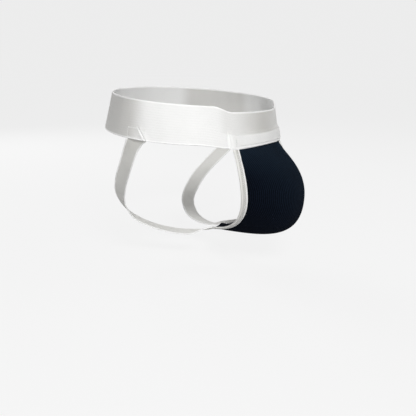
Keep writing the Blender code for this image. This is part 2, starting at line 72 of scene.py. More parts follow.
# The band drops at the front, in a step that is further round and softer at the band's lower edge
FRONT_DROP = 0.0080
FRONT_DROP_ANGLE = math.radians(35.0)
FRONT_DROP_EASE = math.radians(21.0)
FRONT_DROP_SHIFT = math.radians(2.0)
FRONT_DROP_SOFTEN = math.radians(7.0)
FRONT_LIFT = 0.0054
GAP = 0.0003
POUCH_THICK = 0.0016
POUCH_TOP_HALF_WIDTH = 0.067
EDGE_ELASTIC_WIDTH = 0.020
FOLD_WIDTH = EDGE_ELASTIC_WIDTH / 2
EDGE_CLEAR = POUCH_THICK / 2 + GAP
HEM_HALF_WIDTH = POUCH_TOP_HALF_WIDTH + EDGE_CLEAR + FOLD_WIDTH
HEM_HEIGHT = 0.020
HEM_BULGE = 0.0034
HEM_EASE = 0.009
BAND_STATIONS = 500
BAND_COLUMNS = 97
EVEN_COLUMNS = 0.4
FINE_STEPS = 7200
BAND_RIB_PITCH = 0.0035
BAND_RIB_HEIGHT = 0.00004
SELVEDGE_WIDTH = 0.0022
SELVEDGE_SWELL = 0.00022
# Each crease of the band, mirrored to both sides: degrees from the front and distance down the band at its
# two ends, then its half width and its height, which is negative for a furrow
BAND_CREASES = (
    (86.6, 0.0095, 81.2, 0.0265, 0.0042, 0.0011),
    (86.6, 0.0095, 81.2, 0.0265, 0.0009, -0.0011),
    (95.0, 0.0150, 97.0, 0.0275, 0.0012, 0.0003),
    (31.2, 0.0030, 30.6, 0.0282, 0.0009, 0.0013),
    (31.0, 0.0052, 0.0, 0.0052, 0.0010, -0.0008),
)
# Painted highlights along the crests of two creases, where they catch the light: their ends as above, then
# half width and share
PAINTED_CREST_HIGHLIGHTS = (
    (87.1, 0.0095, 81.7, 0.0265, 0.0008, 0.7),
    (31.2, 0.0030, 30.6, 0.0282, 0.0009, 1.0),
)
# How a crease fades in and out, in shares of its length, and how deep the furrows beside it are
CREASE_LEAD = 0.15
CREASE_FADE_IN = 0.45
CREASE_FADE_OUT = 0.35
CREASE_FURROW = 0.35
# Where the loop's stations crowd together for the creases: how much, then degrees and a half width in radians
CREASE_DENSITY = 4.5
CREASE_CROWDS = ((83.0, 0.085), (29.5, 0.055))
# Slow waves that the loop takes when nothing stretches it: waves round the loop, waves down, shift, height
BAND_WAVES = (
    (7, 0.6, 0.4, 0.00035),
    (12, -0.8, 2.1, 0.00025),
    (19, 1.1, 4.0, 0.00016),
    (31, -0.5, 1.2, 0.0001),
)
PALE_ELASTIC = (0.83, 0.83, 0.82, 1.0)
SHADED_ELASTIC = (0.60, 0.60, 0.595, 1.0)
SELVEDGE_AND_HIGHLIGHT_WHITE = (0.88, 0.88, 0.875, 1.0)
# What the greyed band keeps of its tone: partly stretched elastic, thinner and greyer, and partly painted
# shade where the band turns from the light. Then where the worn band is greyed, above the hem and over the
# hips: degrees from the front to each stretch's ends, how soft they are, and its share
STRETCH_AND_PAINTED_SHADE_ELASTIC = (0.68, 0.67, 0.65, 1.0)
STRETCH_AND_SHADE_FRONT = ((0.0, 34.5, 3.5, 0.30), (0.0, 14.0, 14.0, 0.70))
STRETCH_AND_SHADE_HIP = ((87.5, 140.0, 6.5, 0.75),)
STRETCH_AND_SHADE_HEM_EASE = 0.003
PATCH_SIZE = 0.03
FIBRE_SIZE = 0.0006
CORE_PITCH = 0.00118
WEFT_PITCH = 0.00095
WEFT_SHARE = 0.45
FIBRE_SHARE = 0.35
WEAVE_SHADE = 0.75
PATCH_SHADE = 0.30
SELVEDGE_SHINE = (0.55, 0.90)
WEAVE_ROUGH = (0.92, 0.80)
WEAVE_DEPTH = 0.00016


def smooth(share):
    """Ease from 0 to 1 with level ends: three times the square less twice the cube."""
    share = np.clip(share, 0.0, 1.0)
    return share * share * (3.0 - 2.0 * share)


def bell(offset):
    """A Gaussian bell: 1 in the middle, and e to the power of less half the square of the offset."""
    return np.exp(-0.5 * offset**2)


def band_surface(angle, down, out=0.0):
    """Points off the waistband: an ellipse in plan, with angle 0 at the front, that rises with its distance
    back, dips at the front, and lifts its lower edge there by a sixth power. down runs along a line that
    leans outwards, and out runs square to that line, plus the swelling over the hem, which eases in down the
    band and out past the hem's two ends."""
    side, ahead = np.sin(angle), np.cos(angle)
    front, back = np.maximum(ahead, 0.0), np.maximum(-ahead, 0.0)
    x, y = HIP_HALF_WIDTH * side, -HIP_HALF_DEPTH * ahead
    low = down / BAND_HALF
    step = FRONT_DROP_ANGLE + FRONT_DROP_SHIFT * low - np.abs(angle)
    z = BAND_RISE * y - FRONT_DROP * smooth(step / (FRONT_DROP_EASE + FRONT_DROP_SOFTEN * low) + 0.5)
    away_x, away_y = side / HIP_HALF_WIDTH, -ahead / HIP_HALF_DEPTH
    reach = np.hypot(away_x, away_y)
    lean = LEAN_SIDE + (LEAN_FRONT - LEAN_SIDE) * front**2 + (LEAN_BACK - LEAN_SIDE) * back**2
    lift = FRONT_LIFT * front**6 * np.maximum(low, 0.0)
    over_hem = smooth((down - BAND_HALF + HEM_HEIGHT) / HEM_EASE + 1.0)
    over_hem = over_hem * smooth((HEM_HALF_WIDTH - np.abs(x)) / HEM_EASE + 1.0) * (ahead > 0.0)
    proud = out + HEM_BULGE * over_hem
    sideways = np.sin(lean) * down + np.cos(lean) * proud
    z = z - np.cos(lean) * down + np.sin(lean) * proud + lift
    return np.stack(np.broadcast_arrays(x + away_x / reach * sideways, y + away_y / reach * sideways, z), -1)


def path_marks(points):
    """Distances along a run of points, from 0 at the first."""
    return np.concatenate(([0.0], np.cumsum(np.linalg.norm(np.diff(points, axis=0), axis=-1))))


def round_share(distance, radius):
    """The share of its full thickness that a sheet has at a distance from its edge: a quarter circle."""
    return np.sqrt(np.clip(1.0 - (1.0 - np.clip(distance / radius, 0.0, 1.0)) ** 2, 0.0, 1.0))


def cloth_columns(half, count):
    """A row of places across a sheet, closer together towards its two edges: part even and part a sine."""
    even = np.linspace(-1.0, 1.0, count)[None, :]
    return half * (EVEN_COLUMNS * even + (1.0 - EVEN_COLUMNS) * np.sin(even * math.pi / 2))


def new_object(name, shown):
    """An object in the scene that shows a mesh, a lens or a lamp."""
    made = bpy.data.objects.new(name, shown)
    bpy.context.scene.collection.objects.link(made)
    return made


def new_piece(name, points, faces, spots, marks):
    """A mesh object from quads: spots are each corner's place on the cloth, marks are values on each point,
    and the quads are turned over if the volume that they enclose comes out negative."""
    corners = points[faces]
    volume = np.sum(corners[:, 0] * np.cross(corners[:, 1], corners[:, 2]))
    volume += np.sum(corners[:, 0] * np.cross(corners[:, 2], corners[:, 3]))
    if volume < 0:
        faces, spots = faces[:, ::-1], spots[:, ::-1]
    mesh = bpy.data.meshes.new(name)
    mesh.from_pydata(points.tolist(), [], faces.tolist())
    mesh.uv_layers.new(name="UVMap").data.foreach_set("uv", spots.astype(np.float32).ravel())
    for mark, values in marks.items():
        mesh.attributes.new(mark, "FLOAT", "POINT").data.foreach_set("value", values.astype(np.float32))
    mesh.shade_smooth()
    return new_object(name, mesh)


def closed_sheet(name, face, back, spots, slot, looped=False, **marks):
    """A closed layer: a front grid and a back grid of points that share their outer edges, where the layer's
    thickness has run out. spots are its two places on the flat cloth. A looped one joins its last station to
    its first, and its spots have one more station than its points."""
    stations, columns = face.shape[:2]
    inner = np.ones((stations, columns), bool)
    inner[:, [0, -1]] = False
    if not looped:
        inner[[0, -1]] = False
    front_ids = np.arange(inner.size).reshape(inner.shape)
    back_ids = front_ids.copy()
    back_ids[inner] = inner.size + np.arange(inner.sum())
    row, column = np.indices((stations if looped else stations - 1, columns - 1))
    rows = np.stack((row, row, row + 1, row + 1), -1).reshape(-1, 4)
    turn = np.stack((column, column + 1, column + 1, column), -1).reshape(-1, 4)
    faces = np.concatenate((front_ids[rows % stations, turn], back_ids[rows % stations, turn][:, ::-1]))
    corner_spots = np.stack(np.broadcast_arrays(*spots), -1)[rows, turn]
    grids = {mark: np.broadcast_to(values, inner.shape) for mark, values in marks.items()}
    return new_piece(
        name, np.concatenate((face.reshape(-1, 3), back[inner])), faces,
        np.concatenate((corner_spots, corner_spots[:, ::-1])),
        {mark: np.concatenate((grid.ravel(), grid[inner])) for mark, grid in grids.items()},
    )


def fit(piece, finish, node, body=None):
    """Dress a piece in its finish and put it in the place of its node; it rides on a body if one is named."""
    piece.data.materials.append(finish)
    if body:
        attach(piece, body)
    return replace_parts(piece, node)


def wire(made, wires):
    """Give each named input of a node its value, or link it to another node's output."""
    for key, value in wires.items():
        if isinstance(value, bpy.types.NodeSocket):
            made.id_data.links.new(value, made.inputs[key])
        else:
            made.inputs[key].default_value = value
    return made


def add_node(tree, kind, wires=None, **choices):
    """A node with its own choices set and its inputs wired."""
    made = tree.nodes.new(kind)
    for key, value in choices.items():
        setattr(made, key, value)
    return wire(made, wires or {})


def math_of(operation, *values):
    """The result of one Math node, in the tree that its values come from."""
    tree = next(value.id_data for value in values if isinstance(value, bpy.types.NodeSocket))
    return add_node(tree, "ShaderNodeMath", dict(enumerate(values)), operation=operation).outputs[0]


def times(first, second):
    """Two values multiplied."""
    return math_of("MULTIPLY", first, second)


def plus_part(rest, value, share):
    """A rest plus a share of a value."""
    return math_of("MULTIPLY_ADD", value, share, rest)


def value_between(share, low, high):
    """A value that goes from low to high as its share goes from 0 to 1."""
    return plus_part(low, share, high - low)


def colour_between(share, first, second, blend="MIX"):
    """A colour between two others, or between the first and their product, by a share over the surface."""
    wires = {0: share, 6: first, 7: second}
    return add_node(share.id_data, "ShaderNodeMix", wires, data_type="RGBA", blend_type=blend).outputs[2]


def wave_of(distance, pitch, shift=0.0):
    """A wave from 0 to 1: half of one plus the cosine of a distance counted in pitches."""
    turns = math_of("ADD", math_of("DIVIDE", distance, pitch), shift)
    return plus_part(0.5, math_of("COSINE", times(turns, math.tau)), 0.5)


def half_step(row):
    """Half a pitch on every other row, and none on the rest."""
    return times(math_of("FLOORED_MODULO", row, 2.0), 0.5)


def new_group(name, inputs, outputs):
    """An empty shader node group with its named sockets, and the sockets of its input node."""
    group = bpy.data.node_groups.new(name, "ShaderNodeTree")
    for label, default in inputs.items():
        kind = "NodeSocketColor" if isinstance(default, tuple) else "NodeSocketFloat"
        group.interface.new_socket(label, in_out="INPUT", socket_type=kind).default_value = default
    for label, kind in outputs.items():
        group.interface.new_socket(label, in_out="OUTPUT", socket_type="NodeSocket" + kind)
    return group, group.nodes.new("NodeGroupInput").outputs


def cloth_places(tree):
    """The two places on the flat cloth in metres, from its UV map."""
    flat = add_node(tree, "ShaderNodeUVMap", uv_map="UVMap").outputs[0]
    return add_node(tree, "ShaderNodeSeparateXYZ", {0: flat}).outputs[:2]


def cloth_mark(tree, name):
    """A mark that the cloth's mesh carries on its points."""
    return add_node(tree, "ShaderNodeAttribute", attribute_name=name).outputs["Fac"]


# Soft mottling that every cloth here shares: broad uneven handling marks, and fine loose fibres
mottle, given = new_group("cloth_mottle", {"Patch size": PATCH_SIZE, "Fibre size": FIBRE_SIZE},
                          {"Patches": "Float", "Fibres": "Float"})
place = add_node(mottle, "ShaderNodeTexCoord").outputs["Object"]
speckles = {}
for label, size, detail in (("Patches", "Patch size", 3.0), ("Fibres", "Fibre size", 2.0)):
    wires = {"Vector": place, "Scale": math_of("DIVIDE", 1.0, given[size]), "Detail": detail}
    speckles[label] = add_node(mottle, "ShaderNodeTexNoise", wires).outputs[0]
add_node(mottle, "NodeGroupOutput", speckles)


def mottling(tree, patch=PATCH_SIZE, fibre=FIBRE_SIZE):
    """The mottling's patches and its fibres, at their own sizes."""
    sizes = {"Patch size": patch, "Fibre size": fibre}
    return add_node(tree, "ShaderNodeGroup", sizes, node_tree=mottle).outputs[:2]


# The weave of all the white elastic: covered cores along it, crossed by weft that steps at every other core
weave, given = new_group(
    "elastic_weave", {"Pale": PALE_ELASTIC, "Shaded": SHADED_ELASTIC, "Stretch and painted shade": STRETCH_AND_PAINTED_SHADE_ELASTIC},
    {"Color": "Color", "Roughness": "Float", "Height": "Float"},
)
along, across = cloth_places(weave)
patches, fibres = mottling(weave)
core_row = math_of("ROUND", math_of("DIVIDE", across, CORE_PITCH))
weft = wave_of(along, WEFT_PITCH, half_step(core_row))
height = times(wave_of(across, CORE_PITCH), value_between(weft, 1.0 - WEFT_SHARE, 1.0))
height = plus_part(height, fibres, FIBRE_SHARE)
shade = plus_part(times(height, WEAVE_SHADE), patches, PATCH_SHADE)
colour = colour_between(shade, given["Shaded"], given["Pale"])
# The stretch mark greys the weave: stretched elastic, and painted shade on the band and on the leg straps
colour = colour_between(cloth_mark(weave, "taut"), colour, given["Stretch and painted shade"], "MULTIPLY")
# The selvedge mark whitens each selvedge, and on the band it also carries painted highlights along two crease
# crests
bright = times(cloth_mark(weave, "selvedge"), value_between(weft, *SELVEDGE_SHINE))
colour = colour_between(bright, colour, SELVEDGE_AND_HIGHLIGHT_WHITE)
rough = value_between(height, *WEAVE_ROUGH)
add_node(weave, "NodeGroupOutput", {"Color": colour, "Roughness": rough, "Height": height})


def new_material(name):
    """A material, its node tree and its shader."""
    material = bpy.data.materials.new(name)
    material.use_nodes = True
    return material, material.node_tree, material.node_tree.nodes["Principled BSDF"]


def finish_shader(shader, colour, rough, height, depth, **plain):
    """Wire colour, roughness and a bump of the given depth to the shader, and set its plain values."""
    bump = add_node(shader.id_data, "ShaderNodeBump", {"Height": height, "Distance": depth, "Strength": 1.0})
    wire(shader, {"Base Color": colour, "Roughness": rough, "Normal": bump.outputs[0]})
    wire(shader, {key.replace("_", " "): value for key, value in plain.items()})


def elastic_finish(name, pale, shaded, taut):
    """White woven elastic in its own shades, with the dull sheen of covered rubber."""
    material, tree, shader = new_material(name)
    shades = {"Pale": pale, "Shaded": shaded, "Stretch and painted shade": taut}
    cloth = add_node(tree, "ShaderNodeGroup", shades, node_tree=weave).outputs
    finish_shader(shader, cloth["Color"], cloth["Roughness"], cloth["Height"], WEAVE_DEPTH,
                  Sheen_Weight=0.12, Sheen_Roughness=0.5, Specular_IOR_Level=0.25)
    return material


fine_angles = np.linspace(-math.pi, math.pi, FINE_STEPS + 1)
fine_arc = path_marks(band_surface(fine_angles, np.zeros_like(fine_angles)))
fine_arc = fine_arc - fine_arc[FINE_STEPS // 2]
density = 1.0 + sum(CREASE_DENSITY * bell((np.abs(fine_angles) - math.radians(middle)) / wide)
                    for middle, wide in CREASE_CROWDS)
spread = np.cumsum(density) - density[0]
band_ends = np.interp(np.linspace(0.0, spread[-1], BAND_STATIONS + 1), spread, fine_angles)


def band_arc(angle):
    """Distance round the band's middle line from the front centre."""
    return np.interp(angle, fine_angles, fine_arc)


def crease_relief(creases, arc, down):
    """Creases as heights: a Gaussian ridge about each crease's line, with a shallow furrow on both sides,
    fading in and out over its length."""
    total = 0.0
    for first, first_down, last, last_down, half_width, height in creases:
        start = band_arc(math.radians(first))
        run, fall = band_arc(math.radians(last)) - start, last_down - first_down
        length = math.hypot(run, fall)
        share = ((arc - start) * run + (down - first_down) * fall) / length**2
        off = ((arc - start) * fall - (down - first_down) * run) / length / half_width
        fade = smooth((share + CREASE_LEAD) / CREASE_FADE_IN) * smooth((1.0 - share) / CREASE_FADE_OUT + 1.0)
        total = total + height * fade * (1.0 - CREASE_FURROW * off**2) * bell(off)
    return total


def band_relief(angle, down):
    """How far the worn band stands off its plain loop: its creases, and slow waves round it."""
    total = crease_relief(BAND_CREASES, np.abs(band_arc(angle)), down)
    for turns, drift, shift, height in BAND_WAVES:
        total = total + height * np.sin(turns * angle + drift * down / BAND_HALF + shift)
    return total


def ribbed_edge(across, half, pitch, height):
    """The relief across a woven elastic: rounded ribs that fade towards a swollen selvedge at each edge."""
    inset = half - np.abs(across)
    ribs = height * np.cos(math.tau * across / pitch) * smooth(inset / SELVEDGE_WIDTH - 1.0)
    return ribs + SELVEDGE_SWELL * bell((inset - SELVEDGE_WIDTH / 2) / (SELVEDGE_WIDTH / 4))


def selvedge_mark(across, half):
    """1 on the selvedge at each edge of an elastic and 0 between them."""
    return smooth((SELVEDGE_WIDTH - half + np.abs(across)) / (SELVEDGE_WIDTH / 3) + 0.5)


def taut_mark(angle, down):
    """How far the worn band is greyed, partly as stretched elastic and partly as painted shade where it turns
    from the light: plateaus with soft ends above the hem, and another over each hip.
    """
    degrees = np.degrees(np.abs(angle))
    above_hem = smooth((BAND_HALF - HEM_HEIGHT - HEM_EASE / 4 - down) / STRETCH_AND_SHADE_HEM_EASE + 0.5)
    total = 0.0
    for stretches, part in ((STRETCH_AND_SHADE_FRONT, above_hem), (STRETCH_AND_SHADE_HIP, 1.0)):
        for first, last, ease, share in stretches:
            start = 1.0 if first == 0.0 else smooth((degrees - first) / (2 * ease) + 0.5)
            total = total + share * part * start * smooth((last - degrees) / (2 * ease) + 0.5)
    return total


band_angles = band_ends[:-1, None]
band_downs = cloth_columns(BAND_HALF, BAND_COLUMNS)
relief = band_relief(band_angles, band_downs)
painted_crest_highlights = crease_relief(PAINTED_CREST_HIGHLIGHTS, np.abs(band_arc(band_angles)), band_downs)
wall = BAND_THICK / 2 * round_share(BAND_HALF - np.abs(band_downs), BAND_THICK / 2)
wall = wall + ribbed_edge(band_downs, BAND_HALF, BAND_RIB_PITCH, BAND_RIB_HEIGHT) * (wall > 0)
white_band = elastic_finish("white_band_weave", PALE_ELASTIC, SHADED_ELASTIC, STRETCH_AND_PAINTED_SHADE_ELASTIC)
waistband = closed_sheet(
    "waistband_elastic",
    band_surface(band_angles, band_downs, relief + wall),
    band_surface(band_angles, band_downs, relief - wall),
    (band_arc(band_ends)[:, None], band_downs), "white_elastic", looped=True,
    # the selvedge mark here also carries the painted highlights along two crease crests
    selvedge=np.maximum(selvedge_mark(band_downs, BAND_HALF), painted_crest_highlights),
    # greyed above the hem and over the hips: stretched elastic, and painted shade where the band turns from
    # the light
    taut=taut_mark(band_angles, band_downs),
)
fit(waistband, white_band, "waistband", "waistband")

# Lap at the centre back: the end of the loop carried over its start, the same elastic as the band.
# Two zigzag columns and a row along the foot close it, sewn with heavy white thread.
LAP_LENGTH = 0.038
LAP_MARGIN = 0.0010
LAP_DEPTH = BAND_THICK + GAP
LAP_HALF = BAND_HALF - LAP_MARGIN
LAP_STATIONS = 44
LAP_EDGE_CURL = 0.0005
LAP_CURL_REACH = 0.004
CUT_END_STEPS = np.array((0.08, 0.30, 0.65))
NEAR = 0.001
ORIGIN = np.zeros(3)
THREAD_RADIUS = 0.00042
THREAD_ARCH = 0.00016
# In radii, how far the thread's middle rises over its ends and how far these go under; its thickness there
THREAD_RISE = 2.2
THREAD_SINK = 1.4
THREAD_END = 0.55
STITCH_LENGTH = 0.0036
STITCH_SWING = 0.0014
STITCH_RINGS = 7
STITCH_SIDES = 6
# The two quads that close the six-sided thread at its first ring and at its last
STITCH_CAPS = ((0, (3, 2, 1, 0)), (0, (5, 4, 3, 0)), (-1, (0, 1, 2, 3)), (-1, (0, 3, 4, 5)))
TACK_MARGIN = 0.0030
THREAD_WHITE = (0.84, 0.84, 0.83, 1.0)
THREAD_SHADE = (0.60, 0.60, 0.59, 1.0)
THREAD_TWIST = 0.0009
THREAD_FIBRE = 0.0002
PLY_SHARE = 0.6
THREAD_ROUGH = (0.75, 0.60)
THREAD_DEPTH = 0.00012


def unit(vectors):
    """Vectors divided by their own lengths."""
    return vectors / np.linalg.norm(vectors, axis=-1, keepdims=True)


def raised(points, directions, height):
    """Points moved along their directions by a height."""
    return points + directions * np.asarray(height)[..., None]


def facing(normals, points, inside):
    """Normals turned as a whole to point away from inside."""
    return normals * np.sign(np.sum(normals * (points - inside)))


def end_stations(length, count, radius):
    """A column of even places along a sheet, with three more within a radius of each cut end to round it."""
    near = radius * CUT_END_STEPS
    return np.unique(np.concatenate((np.linspace(0.0, length, count), near, length - near)))[:, None]


def sheet_wall(along, across, length, half, thick):
    """Half the thickness of a cut sheet, running out in a quarter circle at all four edges."""
    radius = thick / 2
    edge = round_share(half - np.abs(across), radius)
    return radius * edge * round_share(np.minimum(along, length - along), radius)


def off_surface(surface, first, second, height, inside):
    """Points at a height off a surface of two parameters, and its normals: the unit cross product of its
    central differences, turned as a whole to point away from inside."""
    points = surface(first, second)
    one = surface(first + NEAR, second) - surface(first - NEAR, second)
    two = surface(first, second + NEAR) - surface(first, second - NEAR)
    normals = facing(unit(np.cross(one, two)), points, inside)
    return raised(points, normals, height), normals


def zigzag_holes(start, end, swing, length):
    """Needle holes of a zigzag row: even steps from start to end, with swing added and taken in turn."""
    count = 2 * max(round(length / STITCH_LENGTH), 2)
    share = np.linspace(0.0, 1.0, count + 1)[:, None]
    sign = np.where(np.arange(count + 1) % 2, 1.0, -1.0)[:, None]
    return np.array(start) + (np.array(end) - np.array(start)) * share + np.array(swing) * sign


def ring_points(middle, one, two, radius, turn):
    """Rings of points: a radius times the cosine of each turn along one direction and its sine along two."""
    turn = turn[:, None]
    spokes = np.cos(turn) * one[..., None, :] + np.sin(turn) * two[..., None, :]
    return middle[..., None, :] + radius * spokes


def tube_walls(ids):
    """The quads of tubes: each point of a ring, the next one round, and the same two on the next ring."""
    after = np.roll(ids, -1, axis=2)
    return np.stack((ids[:, :-1], after[:, :-1], after[:, 1:], ids[:, 1:]), -1).reshape(-1, 4)


# Sewing thread: two plies of white polyester, twisted, so fine slanted shadows cross it
sewing_thread, tree, shader = new_material("sewing_thread_twist")
along, around = cloth_places(tree)
patches, fibres = mottling(tree, fibre=THREAD_FIBRE)
ply = wave_of(plus_part(along, around, THREAD_TWIST), THREAD_TWIST)
shade = plus_part(times(ply, PLY_SHARE), fibres, 1.0 - PLY_SHARE)
colour = colour_between(shade, THREAD_SHADE, THREAD_WHITE)
finish_shader(shader, colour, value_between(ply, *THREAD_ROUGH), ply, THREAD_DEPTH,
              Sheen_Weight=0.1, Specular_IOR_Level=0.3)


def sewn_row(name, node, body, holes, surface, height, inside=ORIGIN, side=1):
    """Sewing as one thread length between each two needle holes: a round section carried along the straight
    line between them on the surface, arched in the middle and drawn thin and under at both ends."""
    share = np.linspace(0.0, 1.0, STITCH_RINGS)[None, :]
    first, second = (place[:-1, None] + np.diff(place)[:, None] * share for place in holes.T)
    arch = np.sqrt(np.sin(math.pi * share))
    seat = height + THREAD_ARCH + THREAD_RADIUS * (THREAD_RISE * arch - THREAD_SINK)
    middle, normals = off_surface(surface, first, second, seat, inside)
    sideways = unit(np.cross(normals, np.gradient(middle, axis=1)))
    turn = np.linspace(0.0, math.tau, STITCH_SIDES, endpoint=False)
    radius = THREAD_RADIUS * (THREAD_END + (1.0 - THREAD_END) * arch)
    points = ring_points(middle, sideways, normals, radius[..., None, None], turn)
    points[..., 0] *= side
    ids = np.arange(points.size // 3).reshape(points.shape[:3])
    faces = np.concatenate([tube_walls(ids)] + [ids[:, end][:, order] for end, order in STITCH_CAPS])
    run = np.linalg.norm(np.diff(middle, axis=1), axis=-1).sum(axis=1)[:, None, None] * share[..., None]
    spots = np.stack(np.broadcast_arrays(run, turn / math.tau), -1).reshape(-1, 2)[faces]
    row = new_piece(name, points.reshape(-1, 3), faces, spots, {})
    return fit(row, sewing_thread, node, body)


def lap_surface(arc, down, out=0.0):
    """Points off the lap by distance from the centre back and down: the band's, one layer further out."""
    return band_surface(math.pi + arc / HIP_HALF_WIDTH, down, LAP_DEPTH + out)


lap_along = end_stations(LAP_LENGTH, LAP_STATIONS, BAND_THICK / 2)
lap_across = cloth_columns(LAP_HALF, BAND_COLUMNS)
lap_arc = lap_along - LAP_LENGTH / 2
wall = sheet_wall(lap_along, lap_across, LAP_LENGTH, LAP_HALF, BAND_THICK)
ribs = ribbed_edge(lap_across, LAP_HALF, BAND_RIB_PITCH, BAND_RIB_HEIGHT) * (wall > 0)
curl = LAP_EDGE_CURL * smooth(1.0 - np.minimum(lap_along, LAP_LENGTH - lap_along) / LAP_CURL_REACH)
waistband_lap = closed_sheet(
    "waistband_lap_elastic",
    lap_surface(lap_arc, lap_across, curl + wall + ribs),
    lap_surface(lap_arc, lap_across, curl - wall),
    (lap_along, lap_across), "white_elastic", selvedge=selvedge_mark(lap_across, LAP_HALF), taut=0.0,
)
fit(waistband_lap, white_band, "waistband_lap", "waistband")

column = LAP_HALF - TACK_MARGIN
lap_edge = LAP_LENGTH / 2 - TACK_MARGIN
lap_holes = np.concatenate((
    zigzag_holes((-lap_edge, -column), (-lap_edge, column), (STITCH_SWING, 0.0), 2 * column),
    zigzag_holes((-lap_edge, column), (lap_edge, column), (0.0, 0.0), LAP_LENGTH),
    zigzag_holes((lap_edge, column), (lap_edge, -column), (STITCH_SWING, 0.0), 2 * column),
))
sewn_row("lap_sewing", "lap_stitching", "waistband", lap_holes, lap_surface,
         BAND_THICK / 2 + LAP_EDGE_CURL / 2)

# Top hem of the pouch: the top of the rib knit, pressed into one thick layer and laid behind the band.
# One row of white zigzag through the band holds it, and a short tack stands at each end.
HEM_THICK = 0.0022
HEM_DEPTH = -(BAND_THICK / 2 + GAP + HEM_THICK / 2)
HEM_ANGLE = math.asin(HEM_HALF_WIDTH / HIP_HALF_WIDTH)
HEM_STATIONS = 330
HEM_COLUMNS = 22
HEM_STITCH_RISE = 0.0050
TACK_HEIGHT = 0.0130
KNIT_PITCH = 0.0030
KNIT_RIB_HEIGHT = 0.00055
KNIT_RIB_MEAN = 0.6
KNIT_LOOP = 0.0017
KNIT_LOOP_SLANT = 0.0022
KNIT_PATCH = 0.035
KNIT_FIBRE = 0.0005
KNIT_CREST = (0.0030, 0.0055, 0.0125, 1.0)
# The paler crest colour: partly stretched knit, partly painted light on the pouch's upper part
KNIT_CREST_STRETCHED_AND_LIT = (0.0100, 0.0205, 0.0360, 1.0)
KNIT_GROOVE = (0.0008, 0.0013, 0.0026, 1.0)
WALE_SHARE = 0.65
KNIT_FUZZ = 0.3
KNIT_LOOP_SHADE = (0.6, 1.0)
KNIT_PATCH_SHADE = (0.6, 1.4)
LINT_GREY = (0.05, 0.055, 0.06, 1.0)
LINT_LEVEL = 0.80
LINT_SHARE = 0.25
KNIT_ROUGH = (0.86, 0.96)
KNIT_DEPTH = 0.0003
SIDES = (("left", 1), ("right", -1))


def band_angle(arc):
    """The angle at a distance round the band's middle line from the front centre."""
    return np.interp(arc, fine_arc, fine_angles)


def knit_ribs(across):
    """The relief of the rib knit: a row of round wales, the square root of a raised cosine less its mean."""
    return KNIT_RIB_HEIGHT * (np.sqrt(0.5 + 0.5 * np.cos(math.tau * across / KNIT_PITCH)) - KNIT_RIB_MEAN)


# Rib knit: dark cotton and rubber, with loops that run down each wale as small slanted legs
navy_knit, tree, shader = new_material("navy_rib_loops")
across, along = cloth_places(tree)
patches, fibres = mottling(tree, KNIT_PATCH, KNIT_FIBRE)
wale = wave_of(across, KNIT_PITCH)
turns = math_of("ADD", math_of("DIVIDE", across, KNIT_PITCH), 0.5)
leg = math_of("ABSOLUTE", math_of("ADD", math_of("FRACT", turns), -0.5))
loop = wave_of(plus_part(along, leg, KNIT_LOOP_SLANT), KNIT_LOOP)
height = plus_part(times(wale, WALE_SHARE), loop, 1.0 - WALE_SHARE)
height = plus_part(height, fibres, KNIT_FUZZ)
shade = times(wale, value_between(loop, *KNIT_LOOP_SHADE))
shade = times(shade, value_between(patches, *KNIT_PATCH_SHADE))
# Crests paler towards the top of the pouch: knit stretched over the cup and along the seam, and painted light
# where the upper part faces the lamps
crest = colour_between(cloth_mark(tree, "taut"), KNIT_CREST, KNIT_CREST_STRETCHED_AND_LIT)
lint = times(math_of("GREATER_THAN", fibres, LINT_LEVEL), LINT_SHARE)
colour = colour_between(lint, colour_between(shade, KNIT_GROOVE, crest), LINT_GREY)
finish_shader(shader, colour, value_between(fibres, *KNIT_ROUGH), height, KNIT_DEPTH,
              Sheen_Weight=0.008, Sheen_Roughness=0.4, Specular_IOR_Level=0.04)

hem_length = 2 * float(band_arc(HEM_ANGLE))
hem_along = end_stations(hem_length, HEM_STATIONS, HEM_THICK / 2)
hem_arc = hem_along - hem_length / 2
hem_across = cloth_columns(HEM_HEIGHT / 2, HEM_COLUMNS)
hem_down = BAND_HALF - HEM_HEIGHT / 2 + hem_across
wall = sheet_wall(hem_along, hem_across, hem_length, HEM_HEIGHT / 2, HEM_THICK)
ribs = knit_ribs(hem_arc) * wall / (HEM_THICK / 2)
pouch_top_hem = closed_sheet(
    "pouch_top_hem_knit",
    band_surface(band_angle(hem_arc), hem_down, HEM_DEPTH + wall),
    band_surface(band_angle(hem_arc), hem_down, HEM_DEPTH - wall - ribs),
    (hem_arc, hem_across), "navy_rib_knit",
)
fit(pouch_top_hem, navy_knit, "pouch_top_hem", "waistband")


def band_face(arc, down):
    """The worn band's middle surface by distance from the front centre and down, with its creases."""
    angle = band_angle(arc)
    return band_surface(angle, down, band_relief(angle, down))


hem_row = BAND_HALF - HEM_STITCH_RISE
hem_reach = hem_length / 2 - FOLD_WIDTH - TACK_MARGIN
hem_holes = zigzag_holes((-hem_reach, hem_row), (hem_reach, hem_row), (0.0, STITCH_SWING / 2), 2 * hem_reach)
sewn_row("hem_sewing", "hem_stitching", "waistband", hem_holes, band_face, BAND_THICK / 2)
tack_arc = hem_length / 2 - FOLD_WIDTH / 2
tack_low = BAND_HALF - TACK_MARGIN
tack_high = tack_low - TACK_HEIGHT
tack_holes = zigzag_holes((tack_arc, tack_high), (tack_arc, tack_low), (STITCH_SWING, 0.0), TACK_HEIGHT)
for side_name, side in SIDES:
    sewn_row("front_tack_sewing_" + side_name, "front_tack_" + side_name, "waistband", tack_holes, band_face,
             BAND_THICK / 2, side=side)

